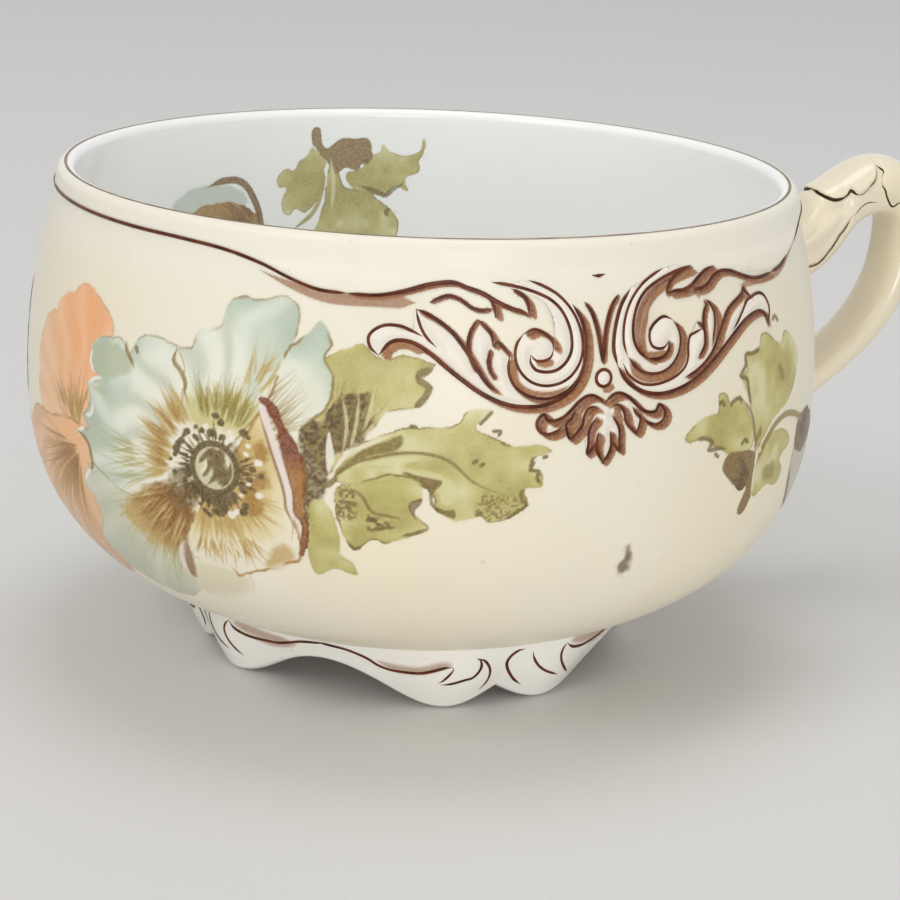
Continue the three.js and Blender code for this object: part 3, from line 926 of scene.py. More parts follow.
def addLines(name, slot, strokes, surface, material=brownLine):  # strokes: (points, width share, closed)
    places, widths, outs, edges = [], [], [], []
    count = 0
    for points, share, closed in strokes:
        line = throughPoints(points, lineLook["step"], closed)
        place, out = surface(line[:, 0], line[:, 1])
        run = np.concatenate([[0], np.cumsum(np.linalg.norm(np.diff(place, axis=0), axis=1))]) / mm
        ends = np.ones(len(line))
        if not closed:
            ends = smoothStep(*lineLook["tip"], np.minimum(run, run[-1] - run))
        places.append(place)
        outs.append(out)
        widths.append(lineLook["halfWidth"] * share * ends * mm)
        steps = np.arange(len(line) if closed else len(line) - 1)
        edges.append(np.stack([steps, (steps + 1) % len(line)], -1) + count)
        count += len(line)
    mesh = bpy.data.meshes.new(name)
    mesh.from_pydata(np.concatenate(places).tolist(), np.concatenate(edges).tolist(), [])
    lines = bpy.data.objects.new(name, mesh)
    bpy.context.scene.collection.objects.link(lines)
    storeValues(lines, "halfWidth", "FLOAT", np.concatenate(widths))
    storeValues(lines, "outward", "FLOAT_VECTOR", np.concatenate(outs))
    runTree(lines, brushNodes, {"Flatness": lineLook["flatness"], "Sides": lineLook["sides"],
                                "Paint": material})
    lines.data.materials.clear()
    lines.data.materials.append(material)
    dress(lines, slot)


def wallLine(azimuth, height):
    return wallPoint(azimuth, height, lineLook["lift"]), outwardAt(wallPoint, azimuth, height)


# Scroll panel: strokes as (azimuth, height), the width share and how far the tan shade falls beside them

scrollLook = dict(relief=0.42, round=0.7, lift=0.1, body=(0.925, 0.893, 0.848), bodyCover=0.75,
                  tan=(0.60, 0.395, 0.235), deepTan=(0.46, 0.265, 0.15), tanCover=0.95,
                  shade=(0.85, -0.6), tanWidth=0.32, tanEnds=(0.06, 0.06), fillEnds=(0.15, 0.15),
                  edge=(-0.1, 0.15), margin=2.5, beadLine=1.1)
# tan under the rim line: widths beside the left and the right of a panel, degrees from its middle
rimTan = dict(widths=(0.72, 0.432), cover=0.82, angles=(25, 30, 36, 42, 48), ends=(0.1, 0.5))
# the brown line under the rim band: heights beside a panel's left and right, degrees where it joins the band
rimBrown = dict(heights=(61.2, 60.4), join=(34, 44), angles=(34.0, 147.0), step=4.0, width=1.25)
volute = [(10.2, 63.6), (8.4, 63), (6.4, 62), (4.8, 60.6), (3.7, 59), (3.1, 57.2), (3, 55.4), (3.5, 53.8),
          (4.7, 52.4), (6.3, 51.6), (8.2, 51.4), (10, 51.9), (11.4, 53.1), (12.1, 54.7), (11.9, 56.3),
          (11, 57.5), (9.6, 58), (8.2, 57.5), (7.2, 56.6), (7, 55.6), (7.4, 54.7), (8.4, 54.3), (9.4, 54.4),
          (10.1, 55.1)]
sweep = [(4.5, 61.6), (3, 59.9), (2.1, 58), (1.6, 56.2), (1.5, 54.6), (2, 52.8), (3, 51.2), (4.5, 50),
         (6.5, 49.2), (9, 48.9), (12, 49.3), (15, 50.3), (18, 51.9), (20, 53.1), (22.5, 54.5), (25, 55.7),
         (27.5, 56.3), (29.3, 56.3), (30.6, 55.6), (31.1, 54.2)]
horn = [(15.2, 63.5), (13, 63.2), (11, 62.8), (9, 62.2), (7.2, 61.4), (5.8, 60.2), (4.9, 58.6), (4.5, 57),
        (4.6, 55.4), (5.4, 54.1), (6.6, 53.3), (8, 53.1), (9.4, 53.4), (10.1, 54.3), (10.1, 55.1)]
cradle = [(16.4, 55.9), (15, 55.6), (13.8, 55.2), (13.4, 54), (13.3, 52.8), (12.6, 51.6), (11, 50.7),
          (9, 50.2), (7, 50.1), (5.2, 50.5), (3.6, 51.6), (2.8, 53)]
vee = [(2.6, 61.1), (1.6, 60), (0.8, 58.4), (0.2, 56.2), (-0.1, 53.2)]
curlLeaf = [(0, 48.4), (0.6, 49), (1.5, 49.5), (2.5, 49.5), (3.6, 48.9), (4.6, 48), (5.6, 47.2), (6.8, 46.8),
            (7.8, 46.9), (8.2, 47.6), (8.9, 47.2), (9.2, 46.4), (8.8, 45.6), (7.8, 45.2), (6.6, 45.5),
            (5.6, 46.2)]
nextLeaf = [(4, 47.8), (4.6, 46.9), (5.3, 46.3), (5.1, 45.2), (4.7, 44.5), (3.9, 45.1), (3.1, 46), (2.9, 47),
            (2.4, 47.9), (1.6, 48.2), (1, 47.8)]
thirdLeaf = [(1, 47), (1.8, 46), (2.2, 45), (2.2, 43.8), (2.3, 42.5), (1.6, 43.2), (1.1, 43.8), (0.8, 45)]
middleLeaf = [(0.8, 45.1), (1, 44.2), (1, 43), (0.6, 42.1), (-0.1, 41.1)]
palmette = [(curlLeaf, 1.0, 1.0), (nextLeaf, 0.95, 0.9), (thirdLeaf, 0.9, 0.7), (middleLeaf, 1.1, 0.6)]
rightStrokes = [
    (vee, 1.2, 0.3), (sweep[:6], 1.3, 0.0), (sweep[5:], 1.3, 1.0), (volute[:8], 0.95, 0.0),
    (volute[7:16], 0.95, 1.1), (volute[15:], 1.0, 0.0), (horn[:11], 1.15, 1.5), (horn[10:], 1.3, 0.4),
    (cradle, 0.95, 0.0),
    ([(15.2, 63.5), (12.8, 62.9), (11.4, 62.1), (10.6, 61.2), (10.4, 60.4)], 1.1, 0.5),
    ([(19.5, 63.1), (17.8, 62.7), (16.4, 62), (15, 61.2), (13.5, 60.8), (12, 60.8), (10.5, 60.7)], 1.2, 1.1),
    ([(34, 60.4), (31, 60.3), (28.5, 60.5), (26.5, 61), (24.5, 61.6), (22.8, 62.1), (21, 62.3), (19.5, 61.9),
      (18.2, 61.1), (17, 60.7), (15.5, 60.6), (15.4, 60)], 1.15, 1.0),
    ([(17, 59.2), (17.3, 58.6), (16.8, 57.8), (16.5, 56.6), (16.6, 55.2), (16.4, 53.8), (15.1, 52.4)], 1.1,
     0.3),
    ([(17.2, 59.3), (18, 58.8), (18.7, 57.6), (18.7, 56.2), (18.3, 54.8), (17.9, 53.4)], 1.1, 1.5),
    ([(15.2, 56.7), (15.8, 56.5), (16.4, 55.9)], 1.2, 0.5),
    ([(12.6, 50.4), (14.5, 50.9), (16.5, 51.9), (18, 53.1), (19.5, 55), (20.5, 56.3), (21.5, 57.4),
      (22.8, 58.1), (24.4, 58.7), (25.3, 59.1), (25.7, 59.7), (26, 59.2), (27.2, 58.3)], 1.05, 0.5),
    ([(22.3, 54.9), (23.5, 55.7), (25, 57), (26.2, 58), (27.5, 58.3), (29, 58.5), (30.3, 58.3), (31.3, 57.5),
      (31.9, 56.3), (31.5, 55), (31.1, 54)], 1.1, 0.0)]
leftStrokes = [
    ([(-2.5, 60.5), (-1.6, 59.4), (-1, 57.8), (-0.6, 56), (-0.2, 53.2)], 1.2, 0.35),
    ([(-4.2, 60.3), (-3.2, 58.8), (-2.7, 57.2), (-2.6, 55.4), (-2.8, 53.6), (-3.5, 51.8), (-4.8, 50.3),
      (-6.4, 49.3), (-8.4, 48.7), (-10.5, 48.6), (-12.5, 48.8), (-14.5, 49.4), (-17, 50.6), (-19, 51.9),
      (-21, 53.3), (-23, 54.8), (-25, 55.9), (-26.8, 56.2), (-28.2, 55.8), (-29.5, 54.3)], 1.3, 1.0),
    ([(-12.6, 62.3), (-11.2, 61.6), (-10.4, 60.6), (-10.2, 59.2)], 1.2, 0.9),
    ([(-34, 61.2), (-30, 61.2), (-26.5, 61.9), (-23.5, 62.7), (-20.5, 63), (-18.5, 62.4), (-16.5, 61.8),
      (-14.5, 60.8), (-12.5, 60), (-11, 59.6), (-10.4, 59)], 1.25, 0.5),
    ([(-16, 61.6), (-15.2, 60.9), (-14.8, 59.8), (-14.7, 59)], 1.1, 0.9),
    ([(-23.3, 60.6), (-21, 61.4), (-19.3, 61), (-17.8, 60.1), (-16.5, 59.8), (-15.2, 60)], 0.85, 0.2),
    ([(-25, 59.8), (-23.5, 59.3), (-21.5, 58.2), (-20, 57), (-18.7, 55.5), (-17.6, 54), (-16.4, 52.2),
      (-15.3, 51), (-14.5, 50.6)], 1.15, 0.8),
    ([(-25, 59.8), (-24.7, 58.8), (-24.2, 57.6), (-23.4, 56.5), (-22.2, 55.5)], 0.95, 0.0),
    ([(-29.5, 54.3), (-30.6, 55.2), (-30.9, 56.3), (-30.2, 57.2), (-28.8, 57.8), (-27, 57.8), (-25.4, 57.3),
      (-24, 56.7)], 1.0, 0.0),
    ([(-17, 58.8), (-17.9, 57.4), (-18.2, 55.8), (-17.8, 54.2), (-17, 52.7)], 1.0, 0.2),
    ([(-17, 58.8), (-16, 57.9), (-15.2, 57), (-15, 55.7)], 1.1, 0.8),
    ([(-15, 55.6), (-14.4, 56.2), (-13.4, 55.3), (-12.7, 54.6)], 1.1, 0.3),
    ([(-15.3, 55.4), (-15.6, 54), (-15.3, 52.8), (-14.6, 51.9)], 1.0, 0.2),
    ([(-12.8, 54.7), (-13, 53.3), (-12.7, 51.9), (-11.8, 50.7), (-10.4, 49.9), (-8.7, 49.5), (-7, 49.6),
      (-5.4, 50.2), (-4, 51.3), (-3.2, 52.6)], 0.95, 1.0)]


def flipped(points, drop=0.0):
    return [(-azimuth, height - drop) for azimuth, height in points]


leftStrokes += [(flipped(volute, 0.4)[:16], 0.95, 0.0), (flipped(volute, 0.4)[15:20], 0.95, 0.9),
                (flipped(volute, 0.4)[19:], 1.0, 0.0), (flipped(horn, 0.5), 1.1, 0.0)]
# tan beside a stroke: share of the way it falls, colour
tanShares = [(1.0, "tan"), (0.7, "tan"), (0.35, "deepTan")]
# tan laid between the strokes: points, half width
tanFills = [
    ([(3.6, 53.2), (4.6, 51.6), (6.4, 50.8), (8.4, 50.7), (10.4, 51.1), (12, 52.2), (12.8, 53.6)], 0.42),
    ([(-12.4, 54.2), (-12.5, 52.6), (-11.6, 51.2), (-10, 50.3), (-8.2, 50.05), (-6.4, 50.2), (-4.9, 51)],
     0.36),
    ([(-27.6, 53.7), (-28.6, 54.7), (-27.4, 55.5), (-25.6, 55.6), (-23.6, 54.7)], 0.55),
    ([(-0.3, 50.2), (0.7, 50.1), (1.3, 50.7)], 0.45),
    ([(-4.4, 45.4), (-3.2, 46.2), (-2, 47.2)], 0.4),
    ([(1.3, 47.6), (2, 46.9), (2.5, 45.8)], 0.45),
    ([(6.2, 53.9), (7.4, 53.7), (8.8, 53.7), (9.6, 54)], 0.4),
    ([(-9.4, 53.9), (-8.2, 53.5), (-7, 53.9)], 0.4),
    ([(25.9, 59), (26.3, 58.5), (25.4, 57.6)], 0.4)]
beadRing = oval((-0.1, 51.5), 1.07, 1.0, 10)
scrollStrokes = rightStrokes + leftStrokes + palmette
scrollStrokes += [(flipped(points), width, shade) for points, width, shade in palmette]
scrollStrokes += [([(-1.2, 63.5), (-0.3, 63.4), (0.8, 63.55)], 1.7, 0.0)]
# outlines of the raised scrolls
scrollBodies = [
    sweep + [(31.9, 56.3), (31.3, 57.5), (29, 58.5), (27.2, 58.3), (25.7, 59.7), (24.4, 58.7), (22.8, 58.1),
             (20.5, 56.3), (19.6, 56), (18.7, 57.6), (17.2, 59.3), (16.8, 57.8), (16.4, 56), (15.2, 56.7),
             (13.8, 55.2), (12.1, 56.2), (11, 57.5), (9.6, 58), (8.2, 57.5), (7.1, 56.4), (6.8, 57.6),
             (7.2, 59.4), (8, 60.8), (9.4, 61.9), (12.8, 62.9), (15.2, 63.5), (10.2, 63.6), (7, 62.4)],
    flipped([(4.2, 60.3), (3, 58), (2.6, 55.4), (3.5, 51.8), (6.4, 49.3), (10.5, 48.6), (14.5, 49.4),
             (19, 51.9), (23, 54.8), (26.8, 56.2), (29.5, 54.3), (30.9, 56.3), (28.8, 57.8), (25.4, 57.3),
             (25, 59.8), (21.5, 58.2), (18.7, 55.5), (18.2, 56.5), (17, 58.8), (15.2, 57), (14.4, 56.2),
             (12.7, 54.8), (11.6, 56.6), (9.6, 57.6), (8, 57.1), (7, 56), (6.8, 57.4), (7.4, 59.6),
             (9, 61.2), (12.8, 62.3), (10.2, 63)]),
    curlLeaf[:-1] + [(5.3, 46.2), (5.1, 45.2), (4.7, 44.5), (3.1, 46), (2.3, 42.5), (1.1, 43.4), (-0.1, 41.1),
                     (-1.1, 43.4), (-2.3, 42.5), (-3.1, 46), (-4.7, 44.5), (-5.1, 45.2), (-5.3, 46.2)]
    + flipped(curlLeaf[:-1])[::-1],
    beadRing]


def rimPaint(azimuth):  # height of the brown line under the rim band
    isLeft = (np.asarray(azimuth) + 360) % 180 > 90
    beside = np.where(isLeft, *rimBrown["heights"])
    return beside + (rimLine(azimuth) - beside) * smoothStep(*rimBrown["join"], panelAngle(azimuth))


def paintTan(panel):
    look = scrollLook
    cover = look["tanCover"]
    for points, width, shade in scrollStrokes:
        fall = np.array(look["shade"]) * shade / toMillimetres
        for share, colour in tanShares if shade else ():
            panel.stroke(np.array(points) + fall * share, look["tanWidth"], look[colour], cover, None,
                         look["tanEnds"])
    for points, halfWidth in tanFills:
        panel.stroke(points, halfWidth, look["tan"], cover, None, look["fillEnds"])
    for side, width in zip((-1, 1), rimTan["widths"]):
        points = [(side * angle, rimPaint(side * angle) - width) for angle in rimTan["angles"]]
        panel.stroke(points, width, look["tan"], rimTan["cover"], None, rimTan["ends"])


def scrollSwell(panel, inside):  # relief that is round between the strokes
    look = scrollLook
    nearest = np.full(panel.cover.shape, 9.0)
    for points in [stroke[0] for stroke in scrollStrokes] + [beadRing + beadRing[:1]]:
        line = throughPoints(points, printLook["curveStep"]) * toMillimetres
        part = panel.window(line, look["margin"])
        gap = lineDistance(panel.across[part], panel.height[part], line)[0]
        nearest[part] = np.minimum(nearest[part], gap)
    return look["relief"] * inside * (1 - np.exp(-(nearest / look["round"]) ** 2))


def makeScrolls():
    look = scrollLook
    panel = Transfer((-52, 52), (40, 66), 5)
    inside = smoothStep(*look["edge"], np.max([panel.depth(points) for points in scrollBodies], axis=0))
    paintTan(panel)
    panel.lay(inside * (1 - panel.cover) * look["bodyCover"], look["body"])
    swell = scrollSwell(panel, inside)
    strokes = [(points, width, False) for points, width, shade in scrollStrokes]
    strokes += [(beadRing, look["beadLine"], True)]
    for name, turn in (("front", 0.0), ("back", 180.0)):
        def turned(azimuth, height, lift=0.0):
            return wallPoint(azimuth + turn, height, lift)
        addFilm("scroll_panel_" + name, panel, wallPrint, turned, look["lift"], swell)
        addLines("scroll_lines_" + name, "ivory_glaze", strokes,
                 lambda azimuth, height: wallLine(azimuth + turn, height))


def makeRimLines():
    angles = np.arange(*rimBrown["angles"], rimBrown["step"])
    edges = [[(side * angle, float(rimPaint(side * angle))) for angle in angles] for side in (-1, 1)]
    addLines("rim_band_lines", "ivory_glaze", [(points, rimBrown["width"], False) for points in edges],
             wallLine)


makeScrolls()
makeRimLines()
print("stage: scroll panels made")


# Lines on the feet, the handle and the lip

# degrees from the middle of a foot, height; width share
footStrokes = [
    ([(-46, 8.8), (-42, 8.6), (-38, 8.3), (-33.4, 7.4), (-30.5, 6.4), (-27.5, 5.9), (-24, 5.8), (-20.3, 5.9),
      (-17.6, 6.3), (-14.8, 6.8), (-12.9, 6.9)], 1.2),
    ([(-12.9, 6.9), (-12.6, 6.5), (-13.6, 5.7), (-14.9, 4.9), (-16.1, 4.5)], 1.0),
    ([(-7, 7.9), (-6, 7.5), (-5.7, 6.6), (-6.4, 5.7), (-7.8, 5), (-9.8, 4.8), (-12.7, 4.4), (-15.3, 4.2)],
     1.1),
    ([(-6.8, 7.9), (-4.9, 7.4), (-3.5, 6.3), (-3, 5.1), (-3.5, 3.8), (-5.2, 2.6)], 1.0),
    ([(5.3, 8.5), (3.4, 8.3), (1.8, 7.6), (1.1, 6.6), (1.8, 5.4), (3.8, 3.8), (6.2, 2.7)], 1.1),
    ([(7.4, 8), (7.8, 7), (9, 5.9), (11, 4.9), (13.6, 4.1), (16, 3.5)], 1.0),
    ([(17.5, 8.1), (16.2, 7.5), (15.6, 6.5), (16.4, 5.3), (18.4, 4), (20.4, 3.1)], 1.1),
    ([(17.5, 8.1), (19, 7.4), (21.5, 7), (25, 6.8), (29.8, 6.9), (33.2, 7.1), (36.9, 7.7), (39.5, 8.2),
      (42.4, 8.5), (46, 8.7)], 1.2)]
# distance from the bowl's axis, height; width share
# the leaf's outlines in olive paint; the thick strokes at the beak and in the dip also paint the shadow under
# the leaf's edge
handleStrokes = [
    ([(62.2, 62), (62.2, 61.7), (62.5, 61.2), (63, 60.9), (63.6, 60.7), (64.3, 60.65), (65.2, 60.9),
      (65.9, 61.4)], 1.7),
    ([(65, 60.9), (65.9, 61.4), (66.45, 61.95), (67.1, 61.5), (67.8, 61.4)], 1.6),
    ([(67, 61.55), (67.7, 61.4), (68.3, 61.6), (69, 62.1), (69.6, 62.7)], 0.75),
    ([(68.8, 62), (69.6, 62.7), (70.4, 63.25), (70.8, 64), (71.2, 64.7)], 1.2),
    ([(71.5, 65.3), (71.9, 64.8), (71.8, 64.3), (71.6, 63.9)], 0.9),
    ([(71.4, 63.2), (71.5, 62.6), (71.9, 62), (72.3, 61), (72.9, 60.1), (73.6, 59.4), (74.1, 59.4),
      (74.8, 59.9), (76.5, 59.2), (78, 58.6)], 0.8)]
# painted shade: a dark line in the groove under the bead, and a soft shadow line along the ridge above it
beadStrokes = [
    (beadGroove, 1.0),
    ([(66.6, 58.2), (67.2, 58.7), (68.1, 59.6), (69, 60.1), (70, 60.2), (70.9, 60.1)], 0.5)]


def footPoint(azimuth, height):
    return roundPlace(footFace(azimuth, height) + lineLook["footLift"], azimuth, height)


def footLine(azimuth, height):
    return footPoint(azimuth, height), outwardAt(footPoint, azimuth, height)


def handleLine(side):  # side -1 is the handle's face towards the front
    mesh = handle.data
    corners = [corner.co for corner in mesh.vertices]
    skin = BVHTree.FromPolygons(corners, [face.vertices[:] for face in mesh.polygons])
    outside = 0.05  # metres, clear of the handle

    def surface(reach, height):
        places, outs = [], []
        for across, up in zip(reach, height):
            start = Vector(((axisX + across) * mm, side * outside, up * mm))
            place, out = skin.ray_cast(start, Vector((0, -side, 0)))[:2]
            if place is None:
                place, out = skin.find_nearest(Vector((start.x, 0, start.z)))[:2]
            places.append(place)
            outs.append(out)
        return np.array(places), np.array(outs)
    return surface


lipPaint = dict(turn=86.0, width=0.95, step=3)  # turn: degrees up from the outer edge of the lip


def lipLine(azimuth, turn):
    half = bowlShape["lipThickness"] / 2
    bend = np.radians(turn)
    angle = np.radians(azimuth)
    way = np.stack([np.sin(angle), -np.cos(angle), 0 * angle], -1)
    out = way * np.cos(bend)[:, None] + np.stack([0 * angle, 0 * angle, np.sin(bend)], -1)
    radius = bowlShape["lipRadius"] - half + half * np.cos(bend)
    return roundPlace(radius, azimuth, lipHeight + half * np.sin(bend)), out


def plainStrokes(strokes, turn=0.0):  # open strokes, moved round by turn
    return [([(first + turn, height) for first, height in points], width, False) for points, width in strokes]


def makeSmallLines():
    feet = [foot * 360 / footShape["count"] + footShape["turn"] for foot in range(footShape["count"])]
    strokes = [stroke for turn in feet for stroke in plainStrokes(footStrokes, turn)]
    addLines("foot_lines", "white_glaze", strokes, footLine)
    for name, side in (("front", -1), ("back", 1)):
        surface = handleLine(side)
        # olive leaf outlines, with painted shadow under the leaf's edge
        addLines("handle_lines_" + name, "cream_glaze", plainStrokes(handleStrokes), surface, oliveLineAndShadow)
        # painted shade in the groove under the bead and along the ridge above it
        addLines("handle_bead_" + name, "cream_glaze", plainStrokes(beadStrokes), surface, beadShadeLine)
    circle = [(azimuth, lipPaint["turn"]) for azimuth in range(0, 360, lipPaint["step"])]
    addLines("lip_line", "ivory_glaze", [(circle, lipPaint["width"], True)], lipLine, lipGold)


makeSmallLines()
print("stage: small lines made")


# Leaves: outlines as (azimuth, height)

leafColours = dict(light=(0.835, 0.815, 0.625), middle=(0.745, 0.71, 0.435), deep=(0.665, 0.62, 0.33),
                   edge=(0.47, 0.40, 0.20), stipple=(0.44, 0.36, 0.19), brown=(0.44, 0.34, 0.17),
                   pale=(0.88, 0.85, 0.735), ground=(0.49, 0.405, 0.22), dark=(0.34, 0.26, 0.135),
                   shade=(0.50, 0.42, 0.21), stem=(0.50, 0.42, 0.22), tip=(0.50, 0.43, 0.21),
                   hem=(0.47, 0.385, 0.19), gap=(0.91, 0.885, 0.81))
upperLeaf = [(-39, 46), (-38, 52), (-35.5, 54), (-32, 55.5), (-31.3, 55.5), (-29.3, 54), (-26, 54.5),
             (-23, 53.8), (-22.3, 53.3), (-24.2, 52.3), (-24, 51.3), (-22.7, 50.7), (-24, 48.7), (-25, 48.3),
             (-28.5, 47.5), (-29.5, 46), (-33, 43), (-35, 40), (-37, 41)]
stippledHeart = [(-39, 45.5), (-36.5, 46), (-35.5, 47.5), (-33.5, 49.5), (-32, 49.5), (-30.3, 50), (-31, 47),
                 (-29.8, 46.5), (-31.8, 43.5), (-34.7, 42), (-35, 39.5), (-37, 35), (-38.2, 34)]
rightLeaf = [(-34.5, 39), (-32, 43), (-29.5, 44.5), (-25.5, 46), (-20, 46.3), (-18, 48), (-15, 48.3),
             (-17, 46.2), (-14.5, 45), (-12, 43.9), (-8.5, 44), (-7, 43), (-9.5, 42.2), (-9.8, 40.8),
             (-8.5, 40.7), (-8, 38.8), (-10.3, 38.4), (-10, 36.4), (-13, 34.5), (-15, 34.4), (-16, 35.2),
             (-19, 34.5), (-21.7, 36), (-22, 37.5), (-24, 39), (-30, 39)]
lowerLeaf = [(-34, 38.3), (-30, 39.5), (-27, 40.3), (-24, 39.5), (-23.2, 37.2), (-24.8, 36.7), (-24.3, 35.3),
             (-22.3, 33.5), (-26, 32), (-28, 31.3), (-29.5, 31.8), (-32, 30.2), (-33.8, 33.5), (-34.3, 35.5)]
hangingLeaf = [(-37.5, 36), (-35, 35.5), (-33.7, 31.5), (-33.7, 29.5), (-32, 28.3), (-31.5, 26.5),
               (-34.5, 27.3), (-37, 26.2), (-38, 30)]
upperTips = [[(-22.4, 53), (-24.2, 52.4), (-24.1, 51.5), (-22.9, 50.8), (-23.7, 49.3), (-24.8, 48.3)],
             [(-23.8, 52.6), (-23.2, 52.2)]]
heartVeins = [[(-33.2, 42.5), (-32.4, 46), (-32.2, 49.6)], [(-31.8, 44), (-30.8, 47.4), (-30.2, 50.3)],
              [(-34, 42.4), (-33.6, 46), (-34.4, 49.4)], [(-31.4, 44.6), (-30, 46.4)]]
rightLight = [(-30, 40.6), (-26, 41), (-21, 40.4), (-19, 38), (-20.5, 36.4), (-22, 38.5), (-25, 40)]
rightLow = [(-16.4, 37.8), (-12, 38), (-10.4, 36.8), (-13, 34.6), (-15, 34.5), (-16.4, 35.4)]
rightVein = [(-34.5, 39.5), (-32, 41.3), (-29, 42.3), (-26, 42.9), (-23, 42.9), (-20, 42), (-17, 39.5),
             (-14, 38.2), (-12, 38)]
rightShade = [(-34.6, 39.2), (-32, 41.4), (-29, 42.6), (-27.3, 42.9), (-26, 44), (-26.2, 45), (-28, 44.3),
              (-31, 42.9), (-34, 40.2)]
rightTips = [[(-25.3, 46.2), (-24.2, 46.1)], [(-15, 45.7), (-13.8, 45.7), (-14.2, 45)],
             [(-9.8, 42.2), (-9.4, 41.7), (-9.8, 40.9), (-8.7, 40.7), (-8.9, 39.8), (-8.2, 39)],
             [(-8.4, 42.3), (-7.4, 42.5)],
             [(-10.3, 38.5), (-10.9, 38), (-10.6, 37), (-10, 36.5), (-11.6, 35.4), (-13, 34.6)],
             [(-16.6, 35.3), (-15.6, 35.7)], [(-17.3, 41.8), (-16.5, 42.3)], [(-16.3, 41.4), (-15.7, 41.9)],
             [(-16.6, 46.4), (-14.8, 48.2)]]
rightHem = [(-26, 40.6), (-22.8, 40), (-21, 39.6), (-21.4, 38.8), (-22, 38), (-21.8, 36.6), (-20.5, 36),
            (-19.3, 36), (-19.2, 34.9), (-21, 35.6), (-22.3, 36.6), (-22.6, 38.2), (-23.6, 39.2)]
lowerSpots = [(-34, 38.2), (-32.4, 38.4), (-31.4, 36.6), (-32, 34.2), (-33.8, 34.4), (-34.4, 36.4)]
lowerGrain = [(-30, 34.8), (-27.4, 34.2), (-27.2, 33.2), (-30, 33)]
lowerVein = [(-33, 38.4), (-31, 37.4), (-29.6, 35.4), (-27.6, 35), (-25.4, 34.6)]
lowerShade = [(-24.9, 36.8), (-23.3, 37.4), (-23.6, 36.4), (-24.2, 35.8), (-24, 34.6), (-24.9, 35.8)]
lowerTips = [[(-26, 32.4), (-24, 32.9), (-22.6, 33.6)], [(-32.8, 31.4), (-31.8, 30.3), (-30.6, 30.9)],
             [(-29.8, 33), (-28.4, 33.4), (-26.4, 33.6)]]
leafGap = [(-35.3, 45), (-34.7, 43), (-34.5, 41.6), (-35.2, 39.8), (-35.6, 41.5), (-35.6, 43.6)]


def besideVeins(lines, width, shift, lightWidth, strength):  # dark veins, each with a light line beside it
    marks = []
    for points in lines:
        marks.append(("stroke", points, width, leafColours["edge"], strength))
        beside = [(azimuth + shift, height) for azimuth, height in points]
        marks.append(("stroke", beside, lightWidth, leafColours["light"], strength))
    return marks


def leafMarks():
    tone = leafColours
    return [
        ("leaf", upperLeaf, 0.5),
        ("glow", (-30, 52.5), (3.5, 1.6), tone["light"], 0.5),
        ("stroke", upperTips[0], 0.42, tone["tip"], 0.95, None, (0.1, 0.1)),
        ("stroke", upperTips[1], 0.45, tone["tip"], 0.95, None, (0.1, 0.1)),
        ("fan", (-34.5, 40), 46, (55, 100), (3, 6), (8, 12), tone["brown"], 0.14, 0.55),
        ("stipple", stippledHeart, 0.5, (-0.3, 0.4), 0.85, tone["dark"], 0.34, 0.15, tone["ground"]),
        *besideVeins(heartVeins, 0.2, 0.5, 0.22, 0.8),
        ("leaf", hangingLeaf, 0.15),
        ("leaf", rightLeaf, 0.85),
        ("glow", (-24, 43.8), (5, 1.5), tone["light"], 0.6),
        ("stipple", rightLow, 0.4, (-0.3, 0.3), 0.6, tone["brown"], 0.25, -0.05, None, True),
        ("patch", rightLight, tone["light"], 0.8, 0.2, 0.4),
        ("stroke", rightVein, 0.2, tone["edge"], 0.8, None, (0.05, 0.4)),
        ("patch", rightShade, tone["shade"], 0.9, 0.15, 0.2),
        ("stroke", [(-34.8, 40.2), (-32.4, 42.6), (-30, 43.9), (-27, 45.2)], 0.28, tone["pale"], 0.9),
        ("stroke", [(-30.6, 41.2), (-27, 41.9), (-23.5, 42.2)], 0.35, tone["light"], 0.8),
        ("strokes", rightTips, 0.24, tone["edge"], 0.95, None, (0.1, 0.15)),
        ("patch", rightHem, tone["hem"], 0.92, 0.1, 0.15),
        ("leaf", lowerLeaf, 0.85),
        ("stipple", lowerSpots, 0.3, (-0.3, 0.3), 0.75, tone["brown"], 0.28, 0.1),
        ("stipple", lowerGrain, 0.3, (-0.3, 0.3), 1.0, tone["brown"], 0.4, 0.1),
        ("stroke", lowerVein, 0.18, tone["edge"], 0.85),
        ("patch", lowerShade, tone["brown"], 0.85),
        ("strokes", lowerTips, 0.26, tone["edge"], 0.9),
        ("patch", leafGap, tone["gap"], 0.95),
        ("stroke", [(-36.4, 38), (-35, 38.5), (-34, 39.6)], 0.4, tone["stem"], 0.9)]


# Poppies: outlines as (azimuth, height)

poppyHeart = (-50.8, 38.4)
poppyColours = dict(blue=(0.76, 0.805, 0.74), deepBlue=(0.69, 0.74, 0.665), pale=(0.88, 0.885, 0.815),
                    cream=(0.915, 0.89, 0.79), white=(0.93, 0.93, 0.88), gold=(0.72, 0.60, 0.33),
                    brown=(0.58, 0.40, 0.17), olive=(0.60, 0.56, 0.30), line=(0.55, 0.45, 0.25),
                    dark=(0.36, 0.29, 0.15), red=(0.46, 0.20, 0.085), pink=(0.90, 0.85, 0.82),
                    green=(0.79, 0.77, 0.635), shell=(0.93, 0.91, 0.87), light=(0.90, 0.88, 0.74))
leftPetal = [(-56, 46), (-55.7, 48), (-57.8, 50.5), (-57.5, 52.3), (-61, 53), (-63.5, 52.8), (-65, 51.5),
             (-66, 50), (-67, 51.4), (-70, 51.5), (-72.5, 50.8), (-74, 49), (-73.5, 47.3), (-72, 45.7),
             (-74.3, 45), (-73.7, 43.2), (-74, 41.5), (-75.3, 40.3), (-74, 38.8), (-77, 37.8), (-74.2, 36.8),
             (-73.2, 34.5), (-66, 32), (-61, 33), (-57, 35), (-52, 38.5)]
